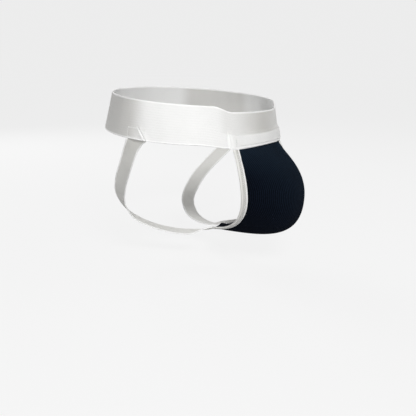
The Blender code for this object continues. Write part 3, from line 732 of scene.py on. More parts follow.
# Pouch front: one panel of navy rib knit, full at the crown and narrow at the tail, its wales running down.
# It hangs from the band's lower edge, and the cup inside keeps it round.
POUCH_REACH = 0.0626
POUCH_CROWN_DROP = 0.0791
POUCH_DEPTH = 0.1442
POUCH_TAIL_BACK = 0.077
TAIL_HALF_WIDTH = 0.016
TAIL_EDGE_RISE = 0.003
SEAM_SLOPE = math.radians(63.0)
SEAM_PULL = 0.57
CROWN_PULL = 0.49
BELLY_PULL = 1.04
TAIL_PULL = 0.61
SIDE_PULL_TOP = np.array((0.0144, -0.0198, -0.0395))
SIDE_PULL_TAIL = np.array((0.0389, -0.1025, 0.0160))
FULLNESS = 0.73
FILL_OUT_LENGTH = 0.0994
SEAM_FADE = 0.25
SEAM_DROP = GAP + POUCH_THICK / 2
SEAM_ANGLE = math.asin(POUCH_TOP_HALF_WIDTH / HIP_HALF_WIDTH)
POUCH_STATIONS = 108
POUCH_COLUMNS = 401
# Where the crests are paler: stretched over the crown of the cup, and painted light on the pouch's upper part
CROWN_STRETCH_AND_LIGHT = 0.8
CROWN_STRETCH_AND_LIGHT_END = 0.66
CROWN_STRETCH_AND_LIGHT_REACH = 0.6
RIB_FADE = 0.004
BACK_RIB_SHARE = 1 / 3
# Puckers along each side seam: their pitch and how it drifts, their height, and how far in they fade
POUCH_PUCKER_PITCH = 0.0085
POUCH_PUCKER_DRIFT = 9
POUCH_PUCKER_HEIGHT = 0.0005
POUCH_PUCKER_REACH = 0.010
POUCH_PUCKER_SEAM = 0.003
POUCH_PUCKER_ENDS = 0.02
NEAR_SHARE = 0.01
FACE_LIMIT = 0.98
PATH_SAMPLES = 400
UP = np.array((0.0, 0.0, 1.0))


def bezier(start, first_pull, second_pull, end):
    """Points along one cubic curve from start to end, drawn towards its two pulls."""
    t = np.linspace(0.0, 1.0, PATH_SAMPLES + 1)[:, None]
    s = 1.0 - t
    return start * s**3 + first_pull * 3 * s * s * t + second_pull * 3 * s * t * t + end * t**3


def path_at(path, share):
    """Points of a path at shares of its length."""
    marks = path_marks(path)
    return np.stack([np.interp(share, marks / marks[-1], column) for column in path.T], -1)


def lerp(first, second, share):
    """Vectors between two others."""
    return raised(first, second - first, share)


def seam_line(across):
    """The pouch's top edge, just under the band's lower edge; across runs from -1 to 1."""
    return band_surface(SEAM_ANGLE * np.asarray(across), BAND_HALF + SEAM_DROP, HEM_DEPTH)


def seam_fade(v):
    """How far the pouch still follows the band: 1 at the seam, falling by a square to 0 a little way down."""
    return np.maximum(1.0 - v / SEAM_FADE, 0.0) ** 2


seam_middle = seam_line(0.0)
crown = seam_middle + np.array((0.0, -POUCH_REACH, -POUCH_CROWN_DROP))
tail = seam_middle + np.array((0.0, POUCH_TAIL_BACK, -POUCH_DEPTH))
leaving = np.array((0.0, -math.sin(SEAM_SLOPE), -math.cos(SEAM_SLOPE))) * SEAM_PULL * POUCH_REACH
upper_profile = bezier(seam_middle, seam_middle + leaving, crown + UP * CROWN_PULL * POUCH_CROWN_DROP, crown)
belly = UP * BELLY_PULL * (POUCH_DEPTH - POUCH_CROWN_DROP)
reach_back = np.array((0.0, TAIL_PULL * (POUCH_REACH + POUCH_TAIL_BACK), 0.0))
PROFILE = np.concatenate((upper_profile, bezier(crown, crown - belly, tail - reach_back, tail)[1:]))
corner = seam_line(1.0)
foot = tail + np.array((TAIL_HALF_WIDTH, 0.0, TAIL_EDGE_RISE))
SIDE = bezier(corner, corner + SIDE_PULL_TOP, foot + SIDE_PULL_TAIL, foot)
PROFILE_LENGTH = float(path_marks(PROFILE)[-1])
SIDE_LENGTH = float(path_marks(SIDE)[-1])


def pouch_surface(u, v):
    """The pouch's middle surface, u from -1 to 1 between its sides and v from 0 at the seam to 1 at the tail:
    between the side edge and the middle profile by a power of one less the square of the sine across, with
    the top edge drawn to the curve of the band, fading down the pouch."""
    u, v = np.broadcast_arrays(np.clip(u, -1.0, 1.0), np.clip(v, 0.0, 1.0))
    across = np.sin(u * math.pi / 2)
    fullness = 1.0 - (1.0 - FULLNESS) * np.minimum(v * PROFILE_LENGTH / FILL_OUT_LENGTH, 1.0)
    bulge = np.maximum(1.0 - across**2, 0.0) ** fullness
    edge = path_at(SIDE, v)
    points = lerp(edge, path_at(PROFILE, v), bulge)
    points[..., 0] = edge[..., 0] * across
    top = lerp(SIDE[0], PROFILE[0], 1.0 - across**2)
    top[..., 0] = SIDE[0, 0] * across
    return raised(points, seam_line(across) - top, seam_fade(v))


def pouch_normals(u, v):
    """Outward unit normals of the pouch: the difference along it crossed with the difference across it."""
    widest = FACE_LIMIT - NEAR_SHARE
    u = np.clip(u, -widest, widest)
    v = np.clip(v, NEAR_SHARE, 1.0 - NEAR_SHARE)
    across = pouch_surface(u + NEAR_SHARE, v) - pouch_surface(u - NEAR_SHARE, v)
    along = pouch_surface(u, v + NEAR_SHARE) - pouch_surface(u, v - NEAR_SHARE)
    return unit(np.cross(along, across))


def knit_stretch_and_painted_light(u, v):
    """How much paler the knit's crests are, 0 to 1: partly the knit stretched along its seam and over the
    crown of the cup, and partly painted light on the pouch's upper part; by the square of the cosine across,
    each fading down the pouch."""
    seam = smooth(1.0 - v / SEAM_FADE)
    over_cup = CROWN_STRETCH_AND_LIGHT * np.cos(u * math.pi / 2) ** 2 * smooth((CROWN_STRETCH_AND_LIGHT_END - v) / CROWN_STRETCH_AND_LIGHT_REACH)
    return 1.0 - (1.0 - seam) * (1.0 - over_cup)


def row_marks(points):
    """Distances along each row of a grid of points, from the row's middle."""
    cuts = np.linalg.norm(np.diff(points, axis=1), axis=-1)
    marks = np.concatenate((np.zeros((len(points), 1)), np.cumsum(cuts, axis=1)), axis=1)
    return marks - marks[:, -1:] / 2


pouch_along = end_stations(PROFILE_LENGTH, POUCH_STATIONS, POUCH_THICK / 2)
pouch_v = pouch_along / PROFILE_LENGTH
pouch_u = np.linspace(-1.0, 1.0, POUCH_COLUMNS)[None, :]
pouch_points = pouch_surface(pouch_u, pouch_v)
pouch_across = row_marks(pouch_points)
pouch_half = pouch_across[:, -1:]
side_gap = pouch_half - np.abs(pouch_across)
end_gap = np.minimum(pouch_along, PROFILE_LENGTH - pouch_along)
wall = sheet_wall(pouch_along, pouch_across, PROFILE_LENGTH, pouch_half, POUCH_THICK)
ribs = knit_ribs(pouch_across) * smooth(side_gap / RIB_FADE) * smooth(end_gap / RIB_FADE)
pucker = np.cos(math.tau * SIDE_LENGTH * pouch_v / POUCH_PUCKER_PITCH + np.sin(POUCH_PUCKER_DRIFT * pouch_v))
pucker = POUCH_PUCKER_HEIGHT * pucker * smooth(1.0 - side_gap / POUCH_PUCKER_REACH)
pucker = pucker * smooth(side_gap / POUCH_PUCKER_SEAM) * smooth(end_gap / POUCH_PUCKER_ENDS)
normals = pouch_normals(pouch_u, pouch_v)
pouch_front = closed_sheet(
    "pouch_front_knit",
    raised(pouch_points, normals, wall + ribs + pucker),
    raised(pouch_points, normals, ribs * BACK_RIB_SHARE - wall + pucker),
    (pouch_across, pouch_along), "navy_rib_knit", taut=knit_stretch_and_painted_light(pouch_u, pouch_v),
)
fit(pouch_front, navy_knit, "pouch_front")
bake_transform(pouch_front)

# Foot of the pouch: the end of the rib knit, folded under once and pressed flat, with no elastic of its own.
# It closes the tail between the two leg straps.
CROTCH_HEM_LENGTH = 0.010
CROTCH_HEM_THICK = 0.0028
CROTCH_STATIONS = 81
CROTCH_COLUMNS = 41
CROTCH_PRESSED = 1 / 3
LAYER_GAP = 0.0001
FOLD_STEP = 0.00001
HEADING_STEP = 0.006


def fold_half(width, layer):
    """The distance from a fold to the open edge of a folded tape, along its bent section."""
    return width - layer + layer / 2 * math.pi / 2


def fold_line(distance, width, layer):
    """The section of a folded tape by distance over it, 0 at the fold: two flat layers joined by a half
    circle, as distance from the open edge and height off the middle between the layers."""
    bend = layer / 2
    turn = np.clip(distance / bend, -math.pi / 2, math.pi / 2)
    flat = np.maximum(np.abs(distance) - bend * math.pi / 2, 0.0)
    return np.stack((width - layer / 2 - bend * (1.0 - np.cos(turn)) - flat, bend * np.sin(turn)))


def folded_tape(surface, stations, over, width, layer, outer, inner, inside):
    """The two faces of a folded tape set along a surface: the line of its section moved square to itself,
    outwards and inwards, then taken as distance over the surface and height off it."""
    across, height = fold_line(over, width, layer)
    run, rise = fold_line(over + FOLD_STEP, width, layer) - fold_line(over - FOLD_STEP, width, layer)
    run, rise = np.array((run, rise)) / np.hypot(run, rise)
    return [off_surface(surface, across + rise * out, stations, height - run * out, inside)[0]
            for out in (outer, -inner)]


def path_heading(path, share):
    """The direction of a path at shares of its length: from a little before to a little after."""
    after, before = np.minimum(share + HEADING_STEP, 1.0), np.maximum(share - HEADING_STEP, 0.0)
    return unit(path_at(path, after) - path_at(path, before))


def crotch_surface(distance, side):
    """The folded foot: the tail's end edge, by distance from its middle, carried straight back along the
    profile's last direction."""
    distance, side = np.broadcast_arrays(distance, side)
    u = np.arcsin(np.clip(side / TAIL_HALF_WIDTH, -1.0, 1.0)) / (math.pi / 2)
    return raised(pouch_surface(u, 1.0), path_heading(PROFILE, 1.0), GAP + distance)


crotch_layer = CROTCH_HEM_THICK / 2
crotch_half = fold_half(CROTCH_HEM_LENGTH, crotch_layer)
crotch_width = 2 * TAIL_HALF_WIDTH
crotch_along = end_stations(crotch_width, CROTCH_STATIONS, crotch_layer / 2)
crotch_side = crotch_along - TAIL_HALF_WIDTH
crotch_over = cloth_columns(crotch_half, CROTCH_COLUMNS)
wall = sheet_wall(crotch_along, crotch_over, crotch_width, crotch_half, crotch_layer - LAYER_GAP)
ribs = (knit_ribs(crotch_side) - KNIT_RIB_HEIGHT * CROTCH_PRESSED) * wall / (crotch_layer / 2)
crotch_hem = closed_sheet(
    "crotch_hem_knit",
    *folded_tape(crotch_surface, crotch_side, crotch_over, CROTCH_HEM_LENGTH, crotch_layer, wall + ribs, wall,
                 ORIGIN),
    (crotch_side, crotch_over), "navy_rib_knit",
)
fit(crotch_hem, navy_knit, "crotch_hem", "pouch")

# Edge elastics: white elastic, narrower than the leg straps', folded in half down each side of the pouch.
# A zigzag row through both layers holds the fold, and both selvedges lie beside the knit.
STRAP_THICK = 0.0015
FOLD_THICK = 2 * STRAP_THICK
EDGE_DROP = GAP + FOLD_THICK / 2
EDGE_SET_BACK = np.array((0.80, 0.60, 0.0))
EDGE_SET_TAIL = np.array((0.95, 0.0, 0.30))
EDGE_TURN_TOP = 0.070
EDGE_TURN_TAIL = 0.100
LEG_CENTRE = np.array((0.085, 0.000, -0.050))
EDGE_STATIONS = 190
EDGE_COLUMNS = 61
# How far the folded elastic is greyed away from its fold, which stays pale
EDGE_GREY_SHARE = 1.0
EDGE_PALE_FOLD = 0.0032
LAYER_THICK = STRAP_THICK - LAYER_GAP
STRAP_RIB_PITCH = 0.0024
STRAP_RIB_HEIGHT = 0.00004
EDGE_STITCH_INSET = 0.0042
EDGE_STITCH_START = 0.0060
EDGE_STITCH_END = 0.0100
PALE_STRAP = (0.76, 0.755, 0.73, 1.0)
SHADED_STRAP = (0.50, 0.495, 0.475, 1.0)
# What the strap elastic keeps of its tone where it is greyed: stretched elastic, and painted shade on the leg
# straps' upper run
STRETCH_AND_PAINTED_SHADE_STRAP = (0.72, 0.715, 0.70, 1.0)

edge_top = band_surface(HEM_ANGLE, 0.0) - band_surface(SEAM_ANGLE, 0.0)
edge_top = unit(edge_top * np.array((1.0, 1.0, 0.0)))


def square_to(directions, heading):
    """Directions made square to a heading: less their share along it, to unit length."""
    return unit(directions - heading * np.sum(directions * heading, axis=-1, keepdims=True))


def edge_direction(v):
    """The direction in which the folded elastic stands off the pouch's left side: turned from the band's own
    direction to one set back, then to one across the tail, and made square to the side edge."""
    leaning = lerp(edge_top, EDGE_SET_BACK, smooth(v * SIDE_LENGTH / EDGE_TURN_TOP))
    leaning = lerp(leaning, EDGE_SET_TAIL, smooth(1.0 - (1.0 - v) * SIDE_LENGTH / EDGE_TURN_TAIL))
    return square_to(leaning, path_heading(SIDE, v))


def edge_surface(across, along):
    """The fold's middle surface on the left, by distance off the pouch's edge and along it from the band: the
    side edge plus that distance in the fold's direction, with its top drawn to the band and fading down."""
    across, along = np.broadcast_arrays(across, along)
    v = np.clip(along / SIDE_LENGTH, 0.0, 1.0)
    reach = EDGE_CLEAR + across
    share = reach / (EDGE_CLEAR + FOLD_WIDTH)
    seat = band_surface(SEAM_ANGLE + (HEM_ANGLE - SEAM_ANGLE) * share, BAND_HALF + EDGE_DROP, HEM_DEPTH)
    pull = seat - raised(SIDE[0], edge_direction(np.zeros(1)), reach)
    return raised(raised(path_at(SIDE, v), edge_direction(v), reach), pull, seam_fade(v))


white_strap = elastic_finish("white_strap_weave", PALE_STRAP, SHADED_STRAP, STRETCH_AND_PAINTED_SHADE_STRAP)
edge_half = fold_half(FOLD_WIDTH, STRAP_THICK)
edge_along = end_stations(SIDE_LENGTH, EDGE_STATIONS, LAYER_THICK / 2)
edge_across = cloth_columns(edge_half, EDGE_COLUMNS)
wall = sheet_wall(edge_along, edge_across, SIDE_LENGTH, edge_half, LAYER_THICK)
ribs = ribbed_edge(edge_across, edge_half, STRAP_RIB_PITCH, STRAP_RIB_HEIGHT) * (wall > 0)
edge_face, edge_back = folded_tape(edge_surface, edge_along, edge_across, FOLD_WIDTH, STRAP_THICK,
                                   wall + ribs, wall, LEG_CENTRE)
edge_stitch_end = SIDE_LENGTH - EDGE_STITCH_END
edge_holes = zigzag_holes((EDGE_STITCH_INSET, EDGE_STITCH_START), (EDGE_STITCH_INSET, edge_stitch_end),
                          (STITCH_SWING, 0.0), SIDE_LENGTH)
for side_name, side in SIDES:
    flip = np.array((side, 1.0, 1.0))
    edge_elastic = closed_sheet(
        "pouch_edge_elastic_fold_" + side_name, edge_face * flip, edge_back * flip, (edge_along, edge_across),
        "white_elastic", selvedge=selvedge_mark(edge_across, edge_half),
        taut=EDGE_GREY_SHARE * smooth(np.abs(edge_across) / EDGE_PALE_FOLD - 0.5),
    )
    fit(edge_elastic, white_strap, "pouch_edge_elastic_" + side_name)
    edge_sewing = sewn_row("edge_sewing_" + side_name, "edge_stitching_" + side_name, None, edge_holes,
                           edge_surface, FOLD_THICK / 2, LEG_CENTRE, side)
    for piece in (edge_elastic, edge_sewing):
        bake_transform(piece)

# Leg straps: white elastic laid on from the tail, led under the leg and up to the hip.
# Each is tacked to the folded edge at the tail, and sewn behind the band in a box of four rows.
STRAP_WIDTH = 0.024
STRAP_ANGLE = math.radians(90.0)
STRAP_TAB = 0.018
STRAP_FLARE = 0.009
STRAP_FLARE_LENGTH = 0.024
STRAP_EASE = 0.045
STRAP_DEPTH = -(BAND_THICK / 2 + GAP + STRAP_THICK / 2)
STRAP_STATIONS = 250
STRAP_COLUMNS = 61
# The free run between the sewn ends curls at its edges and twists a little, in slow waves
STRAP_CURL = 0.0008
STRAP_TWIST_WAVE = 0.0006
STRAP_TWIST_LENGTH = 0.021
STRAP_FREE_EASE = 0.05
STRAP_FREE_END = 0.012
# The strap greys towards the hip: stretched over the hip, and painted shade on its upper run, where the lamps
# light it more than below
STRAP_STRETCH_AND_SHADE = 0.5
STRAP_STRETCH_AND_SHADE_REACH = 0.090
STRAP_TURN_CENTRE = np.array((0.0530, 0.0065, -0.0350))
BAR_INSET = 0.0018
# How far the middle line bows off the straight line from tail to hip, at even steps along it
LEG_BOW = np.array((
    (-0.0095, 0.0357, -0.0321),
    (-0.0096, 0.0744, -0.0480),
    (-0.0018, 0.0972, -0.0490),
    (0.0071, 0.0909, -0.0390),
    (0.0080, 0.0666, -0.0299),
    (0.0068, 0.0333, -0.0189),
))


def rounded_route(corners):
    """Points along a smooth curve that passes through every corner in turn, each piece a cubic curve whose
    pulls are a sixth of the way between its neighbours."""
    ends = np.concatenate((corners[:1], corners, corners[-1:]))
    pieces = [bezier(start, start + (end - before) / 6, end - (after - start) / 6, end)[min(index, 1):]
              for index, (before, start, end, after) in enumerate(zip(ends, ends[1:], ends[2:], ends[3:]))]
    return np.concatenate(pieces)


def grid_normals(points, inside):
    """Unit normals of a grid of points: the cross product of the differences along it and across it, turned
    as a whole to point away from inside."""
    normals = unit(np.cross(np.gradient(points, axis=0), np.gradient(points, axis=1)))
    return facing(normals, points, inside)


tail_direction = edge_direction(np.ones(1))[0]
leg_start = raised(SIDE[-1], tail_direction, EDGE_CLEAR + FOLD_WIDTH / 2)
leg_start = raised(leg_start, path_heading(SIDE, 1.0), 2 * GAP)
leg_end = band_surface(STRAP_ANGLE, BAND_HALF, STRAP_DEPTH)
steps = np.linspace(0.0, 1.0, len(LEG_BOW) + 2)[1:-1]
bowed = lerp(leg_start, leg_end, steps) + LEG_BOW
LEG = rounded_route(np.concatenate((leg_start[None], bowed, leg_end[None])))
LEG_LENGTH = float(path_marks(LEG)[-1])
STRAP_LENGTH = LEG_LENGTH + STRAP_TAB
tab_forward = band_surface(STRAP_ANGLE - STRAP_WIDTH / HIP_HALF_DEPTH, 0.0) - band_surface(STRAP_ANGLE, 0.0)
tab_forward = unit(tab_forward)


def strap_surface(across, along):
    """The left strap's middle surface: its middle line plus a sideways offset. across runs from -0.5 to 0.5
    over a width that opens from the fold's to the strap's and flares forward at the hip by a square. The
    offset is square to the line and to the direction off the turn centre, turned to the fold's at the tail
    and to the band's at the hip."""
    across, along = np.broadcast_arrays(across, along)
    below = LEG_LENGTH - along
    flare = STRAP_FLARE * np.clip(1.0 - below / STRAP_FLARE_LENGTH, 0.0, 1.0) ** 2
    wide = FOLD_WIDTH + (STRAP_WIDTH - FOLD_WIDTH) * smooth(along / STRAP_EASE)
    offset = across * wide + flare * (across + 0.5)
    share = np.clip(along / LEG_LENGTH, 0.0, 1.0)
    middle = path_at(LEG, share)
    sideways = unit(np.cross(unit(middle - STRAP_TURN_CENTRE), path_heading(LEG, share)))
    sideways = lerp(sideways, tab_forward, smooth(1.0 - below / STRAP_EASE))
    sideways = lerp(sideways, tail_direction, smooth(1.0 - along / STRAP_EASE))
    tab = band_surface(STRAP_ANGLE - offset / HIP_HALF_DEPTH, BAND_HALF + np.minimum(below, 0.0), STRAP_DEPTH)
    return np.where((below <= 0.0)[..., None], tab, raised(middle, unit(sideways), offset))


strap_along = end_stations(STRAP_LENGTH, STRAP_STATIONS, STRAP_THICK / 2)
strap_share = cloth_columns(0.5, STRAP_COLUMNS)
strap_across = strap_share * STRAP_WIDTH
strap_points = strap_surface(strap_share, strap_along)
strap_normals = grid_normals(strap_points, LEG_CENTRE)
wall = sheet_wall(strap_along, strap_across, STRAP_LENGTH, STRAP_WIDTH / 2, STRAP_THICK)
wall = wall + ribbed_edge(strap_across, STRAP_WIDTH / 2, STRAP_RIB_PITCH, STRAP_RIB_HEIGHT) * (wall > 0)
bend = STRAP_TWIST_WAVE * np.sin(strap_along / STRAP_TWIST_LENGTH) * strap_share
bend = bend + STRAP_CURL * (2 * np.abs(strap_share)) ** 3
bend = bend * smooth(strap_along / STRAP_FREE_EASE)
bend = bend * smooth((LEG_LENGTH - STRAP_FREE_END - strap_along) / STRAP_FREE_EASE)
strap_face = raised(strap_points, strap_normals, bend + wall)
strap_back = raised(strap_points, strap_normals, bend - wall)

tab_spread = STRAP_WIDTH + STRAP_FLARE
hip_arc = float(band_arc(STRAP_ANGLE))
tab_front = hip_arc - (STRAP_WIDTH / 2 + STRAP_FLARE - TACK_MARGIN)
tab_rear = hip_arc + STRAP_WIDTH / 2 - TACK_MARGIN
strap_holes = np.concatenate([
    zigzag_holes(start, end, (0.0, swing), length) for start, end, swing, length in (
        ((tab_rear, tack_high), (tab_front, tack_high), STITCH_SWING, tab_spread),
        ((tab_front, tack_high), (tab_front, tack_low), 0.0, TACK_HEIGHT),
        ((tab_front, tack_low), (tab_rear, tack_low), STITCH_SWING, tab_spread),
        ((tab_rear, tack_low), (tab_rear, tack_high), 0.0, TACK_HEIGHT),
    )
])
bar_along = SIDE_LENGTH - TACK_MARGIN
bar_holes = zigzag_holes((BAR_INSET, bar_along), (FOLD_WIDTH - BAR_INSET, bar_along), (0.0, STITCH_SWING),
                         FOLD_WIDTH)
for side_name, side in SIDES:
    flip = np.array((side, 1.0, 1.0))
    leg_strap = closed_sheet(
        "leg_strap_elastic_" + side_name, strap_face * flip, strap_back * flip, (strap_along, strap_across),
        "white_elastic", selvedge=selvedge_mark(strap_across, STRAP_WIDTH / 2),
        taut=STRAP_STRETCH_AND_SHADE * smooth(1.0 - (LEG_LENGTH - strap_along) / STRAP_STRETCH_AND_SHADE_REACH),
    )
    fit(leg_strap, white_strap, "leg_strap_" + side_name)
    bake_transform(leg_strap)
    sewn_row("strap_tack_sewing_" + side_name, "strap_tack_" + side_name, "waistband", strap_holes, band_face,
             BAND_THICK / 2, side=side)
    sewn_row("crotch_tack_sewing_" + side_name, "crotch_tack_" + side_name, "pouch", bar_holes, edge_surface,
             FOLD_THICK / 2, LEG_CENTRE, side)

# Pocket lining: a thin grey warp knit behind the cup, caught into the pouch's sides and tail.
# Its mouth stays open for the cup, and a folded tape binds that edge.
LINING_THICK = 0.0010
LINING_MARGIN = 0.04
MOUTH_DROP = 0.020
BINDING_WIDTH = 0.008
BINDING_HALF_SPAN = 0.72
CUP_CLEARANCE = 0.0012
CUP_HALF_WIDTH = 0.050
CUP_HALF_HEIGHT = 0.0825
CUP_TOP_DROP = 0.0285
BEAD_RADIUS = 0.0030
BEAD_DEPTH = -(POUCH_THICK / 2 + CUP_CLEARANCE + BEAD_RADIUS)
BEAD_LEAD = (BEAD_RADIUS + GAP) / CUP_HALF_WIDTH
LINING_EDGE_DEPTH = -(POUCH_THICK / 2 + GAP + LINING_THICK / 2)
LINING_CUP_DEPTH = BEAD_DEPTH - BEAD_RADIUS - CUP_CLEARANCE - LINING_THICK / 2
LINING_RAMP_START = 1 + 3 * BEAD_LEAD
LINING_RAMP_END = 1 + 10 * BEAD_LEAD
LINING_GRID = 130
BINDING_COLUMNS = 37
LINING_LOOP = 0.0019
LINING_FIBRE = 0.0004
LINING_PALE = (0.200, 0.212, 0.225, 1.0)
LINING_DARK = (0.030, 0.033, 0.038, 1.0)
LINING_LOOP_SHADE = 0.7
LINING_FIBRE_SHADE = 0.4
LINING_ROUGH = (0.86, 0.98)
LINING_DEPTH = 0.0004
CUP_MIDDLE = (CUP_TOP_DROP + CUP_HALF_HEIGHT) / PROFILE_LENGTH
CUP_SPAN_U = math.asin(CUP_HALF_WIDTH / path_at(SIDE, CUP_MIDDLE)[0]) / (math.pi / 2)
CUP_SPAN_V = CUP_HALF_HEIGHT / PROFILE_LENGTH
# A point well ahead of the pouch, which the lining and its binding face away from
AHEAD_OF_POUCH = np.array((0.0, -0.4, -0.12))


def pouch_layer(u, v, depth):
    """Points off the pouch's face along its normals; the layers behind it have a negative depth."""
    return raised(pouch_surface(u, v), pouch_normals(u, v), depth)


def lining_surface(u, v):
    """The pocket's inner layer: against the pouch at its edges, easing back behind the cup and its bead by
    the distance from the cup's middle, counted in rims."""
    u, v = np.broadcast_arrays(u, v)
    ring = np.hypot(u / CUP_SPAN_U, (v - CUP_MIDDLE) / CUP_SPAN_V)
    behind = smooth((LINING_RAMP_END - ring) / (LINING_RAMP_END - LINING_RAMP_START))
    return pouch_layer(u, v, LINING_EDGE_DEPTH + (LINING_CUP_DEPTH - LINING_EDGE_DEPTH) * behind)


# Warp knit: small staggered holes between fine ribs of loops
grey_lining, tree, shader = new_material("grey_warp_knit")
across, along = cloth_places(tree)
patches, fibres = mottling(tree, fibre=LINING_FIBRE)
loop_row = math_of("FLOOR", math_of("DIVIDE", along, LINING_LOOP))
loops = times(wave_of(across, LINING_LOOP, half_step(loop_row)), wave_of(along, LINING_LOOP, 0.5))
shade = plus_part(times(fibres, LINING_FIBRE_SHADE), loops, LINING_LOOP_SHADE)
finish_shader(shader, colour_between(shade, LINING_DARK, LINING_PALE), value_between(patches, *LINING_ROUGH),
              loops, LINING_DEPTH, Sheen_Weight=0.05, Specular_IOR_Level=0.08)

mouth = MOUTH_DROP / PROFILE_LENGTH
lining_length = (1.0 - LINING_MARGIN - mouth) * PROFILE_LENGTH
lining_along = end_stations(lining_length, LINING_GRID, LINING_THICK / 2)
lining_u = np.linspace(LINING_MARGIN - 1.0, 1.0 - LINING_MARGIN, LINING_GRID)[None, :]
lining_points = lining_surface(lining_u, mouth + lining_along / PROFILE_LENGTH)
lining_across = row_marks(lining_points)
lining_half = lining_across[:, -1:]
wall = sheet_wall(lining_along, lining_across, lining_length, lining_half, LINING_THICK)
normals = grid_normals(lining_points, AHEAD_OF_POUCH)
pouch_lining = closed_sheet(
    "pouch_lining_knit", raised(lining_points, normals, wall), raised(lining_points, normals, -wall),
    (lining_across, lining_along), "grey_lining",
)
fit(pouch_lining, grey_lining, "pouch_lining", "pouch")


def binding_surface(rise, u):
    """The binding's middle surface: the lining's, by distance up from its mouth and share across it."""
    return lining_surface(u, (MOUTH_DROP - GAP - rise) / PROFILE_LENGTH)


binding_layer = LINING_THICK / 2
binding_half = fold_half(BINDING_WIDTH - GAP, binding_layer)
binding_u = np.linspace(-BINDING_HALF_SPAN, BINDING_HALF_SPAN, LINING_GRID)[:, None]
binding_over = cloth_columns(binding_half, BINDING_COLUMNS)
mouth_line = path_marks(binding_surface(BINDING_WIDTH / 2, binding_u[:, 0]))[:, None]
mouth_length = float(mouth_line[-1, 0])
wall = sheet_wall(mouth_line, binding_over, mouth_length, binding_half, binding_layer - LAYER_GAP)
pocket_binding = closed_sheet(
    "pocket_binding_tape",
    *folded_tape(binding_surface, binding_u, binding_over, BINDING_WIDTH - GAP, binding_layer, wall, wall,
                 AHEAD_OF_POUCH),
    (mouth_line, binding_over), "grey_lining",
)
fit(pocket_binding, grey_lining, "pocket_binding", "pouch")

# Cup: a hard shell moulded in off-white plastic, with seven drilled vents and a fine moulded texture.
# A soft grey bead is pushed over its rim, and the cup slides into the pocket from above.
CUP_THICK = 0.0030
CUP_DEPTH = -(POUCH_THICK / 2 + CUP_CLEARANCE + CUP_THICK / 2)
CUP_GRID = 111
CUP_SHARP_ANGLE = math.radians(40.0)
VENT_RADIUS = 0.0032
VENT_RING = 0.36
VENT_COUNT = 6
VENT_SIDES = 24
CUP_WHITE = (0.72, 0.73, 0.715, 1.0)
CUP_SHADE = (0.56, 0.57, 0.555, 1.0)
CUP_ROUGH = (0.30, 0.52)
CUP_GRAIN_DEPTH = 0.00008
BEAD_STATIONS = 220
BEAD_SIDES = 15
RUBBER_GREY = (0.30, 0.31, 0.32, 1.0)
RUBBER_DARK = (0.20, 0.205, 0.215, 1.0)
RUBBER_ROUGH = (0.50, 0.75)
RUBBER_SKIN_DEPTH = 0.00006


def cup_surface(x, y, depth):
    """Points behind the pouch's face in the cup's own outline, where x and y reach 1 at its rim."""
    return pouch_layer(x * CUP_SPAN_U, CUP_MIDDLE + y * CUP_SPAN_V, depth)


def moulded_finish(name, dark, pale, broad, fine, rough, depth, gloss):
    """A moulded skin: broad noise shades it between two colours and two roughnesses, and fine noise is its
    relief."""
    material, tree, shader = new_material(name)
    place = add_node(tree, "ShaderNodeTexCoord").outputs["Object"]
    marks, grain = (add_node(tree, "ShaderNodeTexNoise", {"Vector": place, **noise}).outputs[0]
                    for noise in (broad, fine))
    finish_shader(shader, colour_between(marks, dark, pale), value_between(marks, *rough), grain, depth,
                  Specular_IOR_Level=gloss)
    return material


square = np.linspace(-1.0, 1.0, CUP_GRID)
p, q = np.meshgrid(square, square, indexing="ij")
cup_x, cup_y = p * np.sqrt(1.0 - q * q / 2), q * np.sqrt(1.0 - p * p / 2)
rim_gap = (1.0 - np.minimum(np.hypot(cup_x, cup_y), 1.0)) * CUP_HALF_WIDTH
wall = CUP_THICK / 2 * round_share(rim_gap, CUP_THICK / 2)
cup_shell = closed_sheet(
    "cup_shell_moulding",
    cup_surface(cup_x, cup_y, CUP_DEPTH + wall),
    cup_surface(cup_x, cup_y, CUP_DEPTH - wall),
    (cup_x * CUP_HALF_WIDTH, cup_y * CUP_HALF_HEIGHT), "cup_plastic",
)
vent_turn = math.tau * np.arange(VENT_COUNT) / VENT_COUNT
vent_x = np.concatenate(([0.0], VENT_RING * np.cos(vent_turn)))
vent_y = np.concatenate(([0.0], VENT_RING * np.sin(vent_turn)))
vent_middle = cup_surface(vent_x, vent_y, CUP_DEPTH)
vent_aim = unit(cup_surface(vent_x, vent_y, CUP_DEPTH + CUP_THICK) - vent_middle)
vent_right = unit(np.cross(vent_aim, UP))
vent_up = np.cross(vent_right, vent_aim)
round_turn = np.linspace(0.0, math.tau, VENT_SIDES, endpoint=False)
drill_ends = [vent_middle + vent_aim * reach for reach in (-2 * CUP_THICK, 2 * CUP_THICK)]
drill_points = np.stack([ring_points(end, vent_right, vent_up, VENT_RADIUS, round_turn)
                         for end in drill_ends], 1)
ids = np.arange(drill_points.size // 3).reshape(drill_points.shape[:3])
drills = bpy.data.meshes.new("vent_drills")
drills.from_pydata(drill_points.reshape(-1, 3).tolist(), [],
                   tube_walls(ids).tolist() + ids[:, 0, ::-1].tolist() + ids[:, 1].tolist())
drill = new_object("vent_drills", drills)
vents = cup_shell.modifiers.new("vents", "BOOLEAN")
vents.operation = "DIFFERENCE"
vents.solver = "EXACT"
vents.object = drill
cup_drilled = bpy.data.meshes.new_from_object(cup_shell.evaluated_get(bpy.context.evaluated_depsgraph_get()))
cup_shell.modifiers.clear()
cup_shell.data = cup_drilled
bpy.data.objects.remove(drill, do_unlink=True)
cup_drilled.set_sharp_from_angle(angle=CUP_SHARP_ANGLE)
cup_drilled.materials.clear()
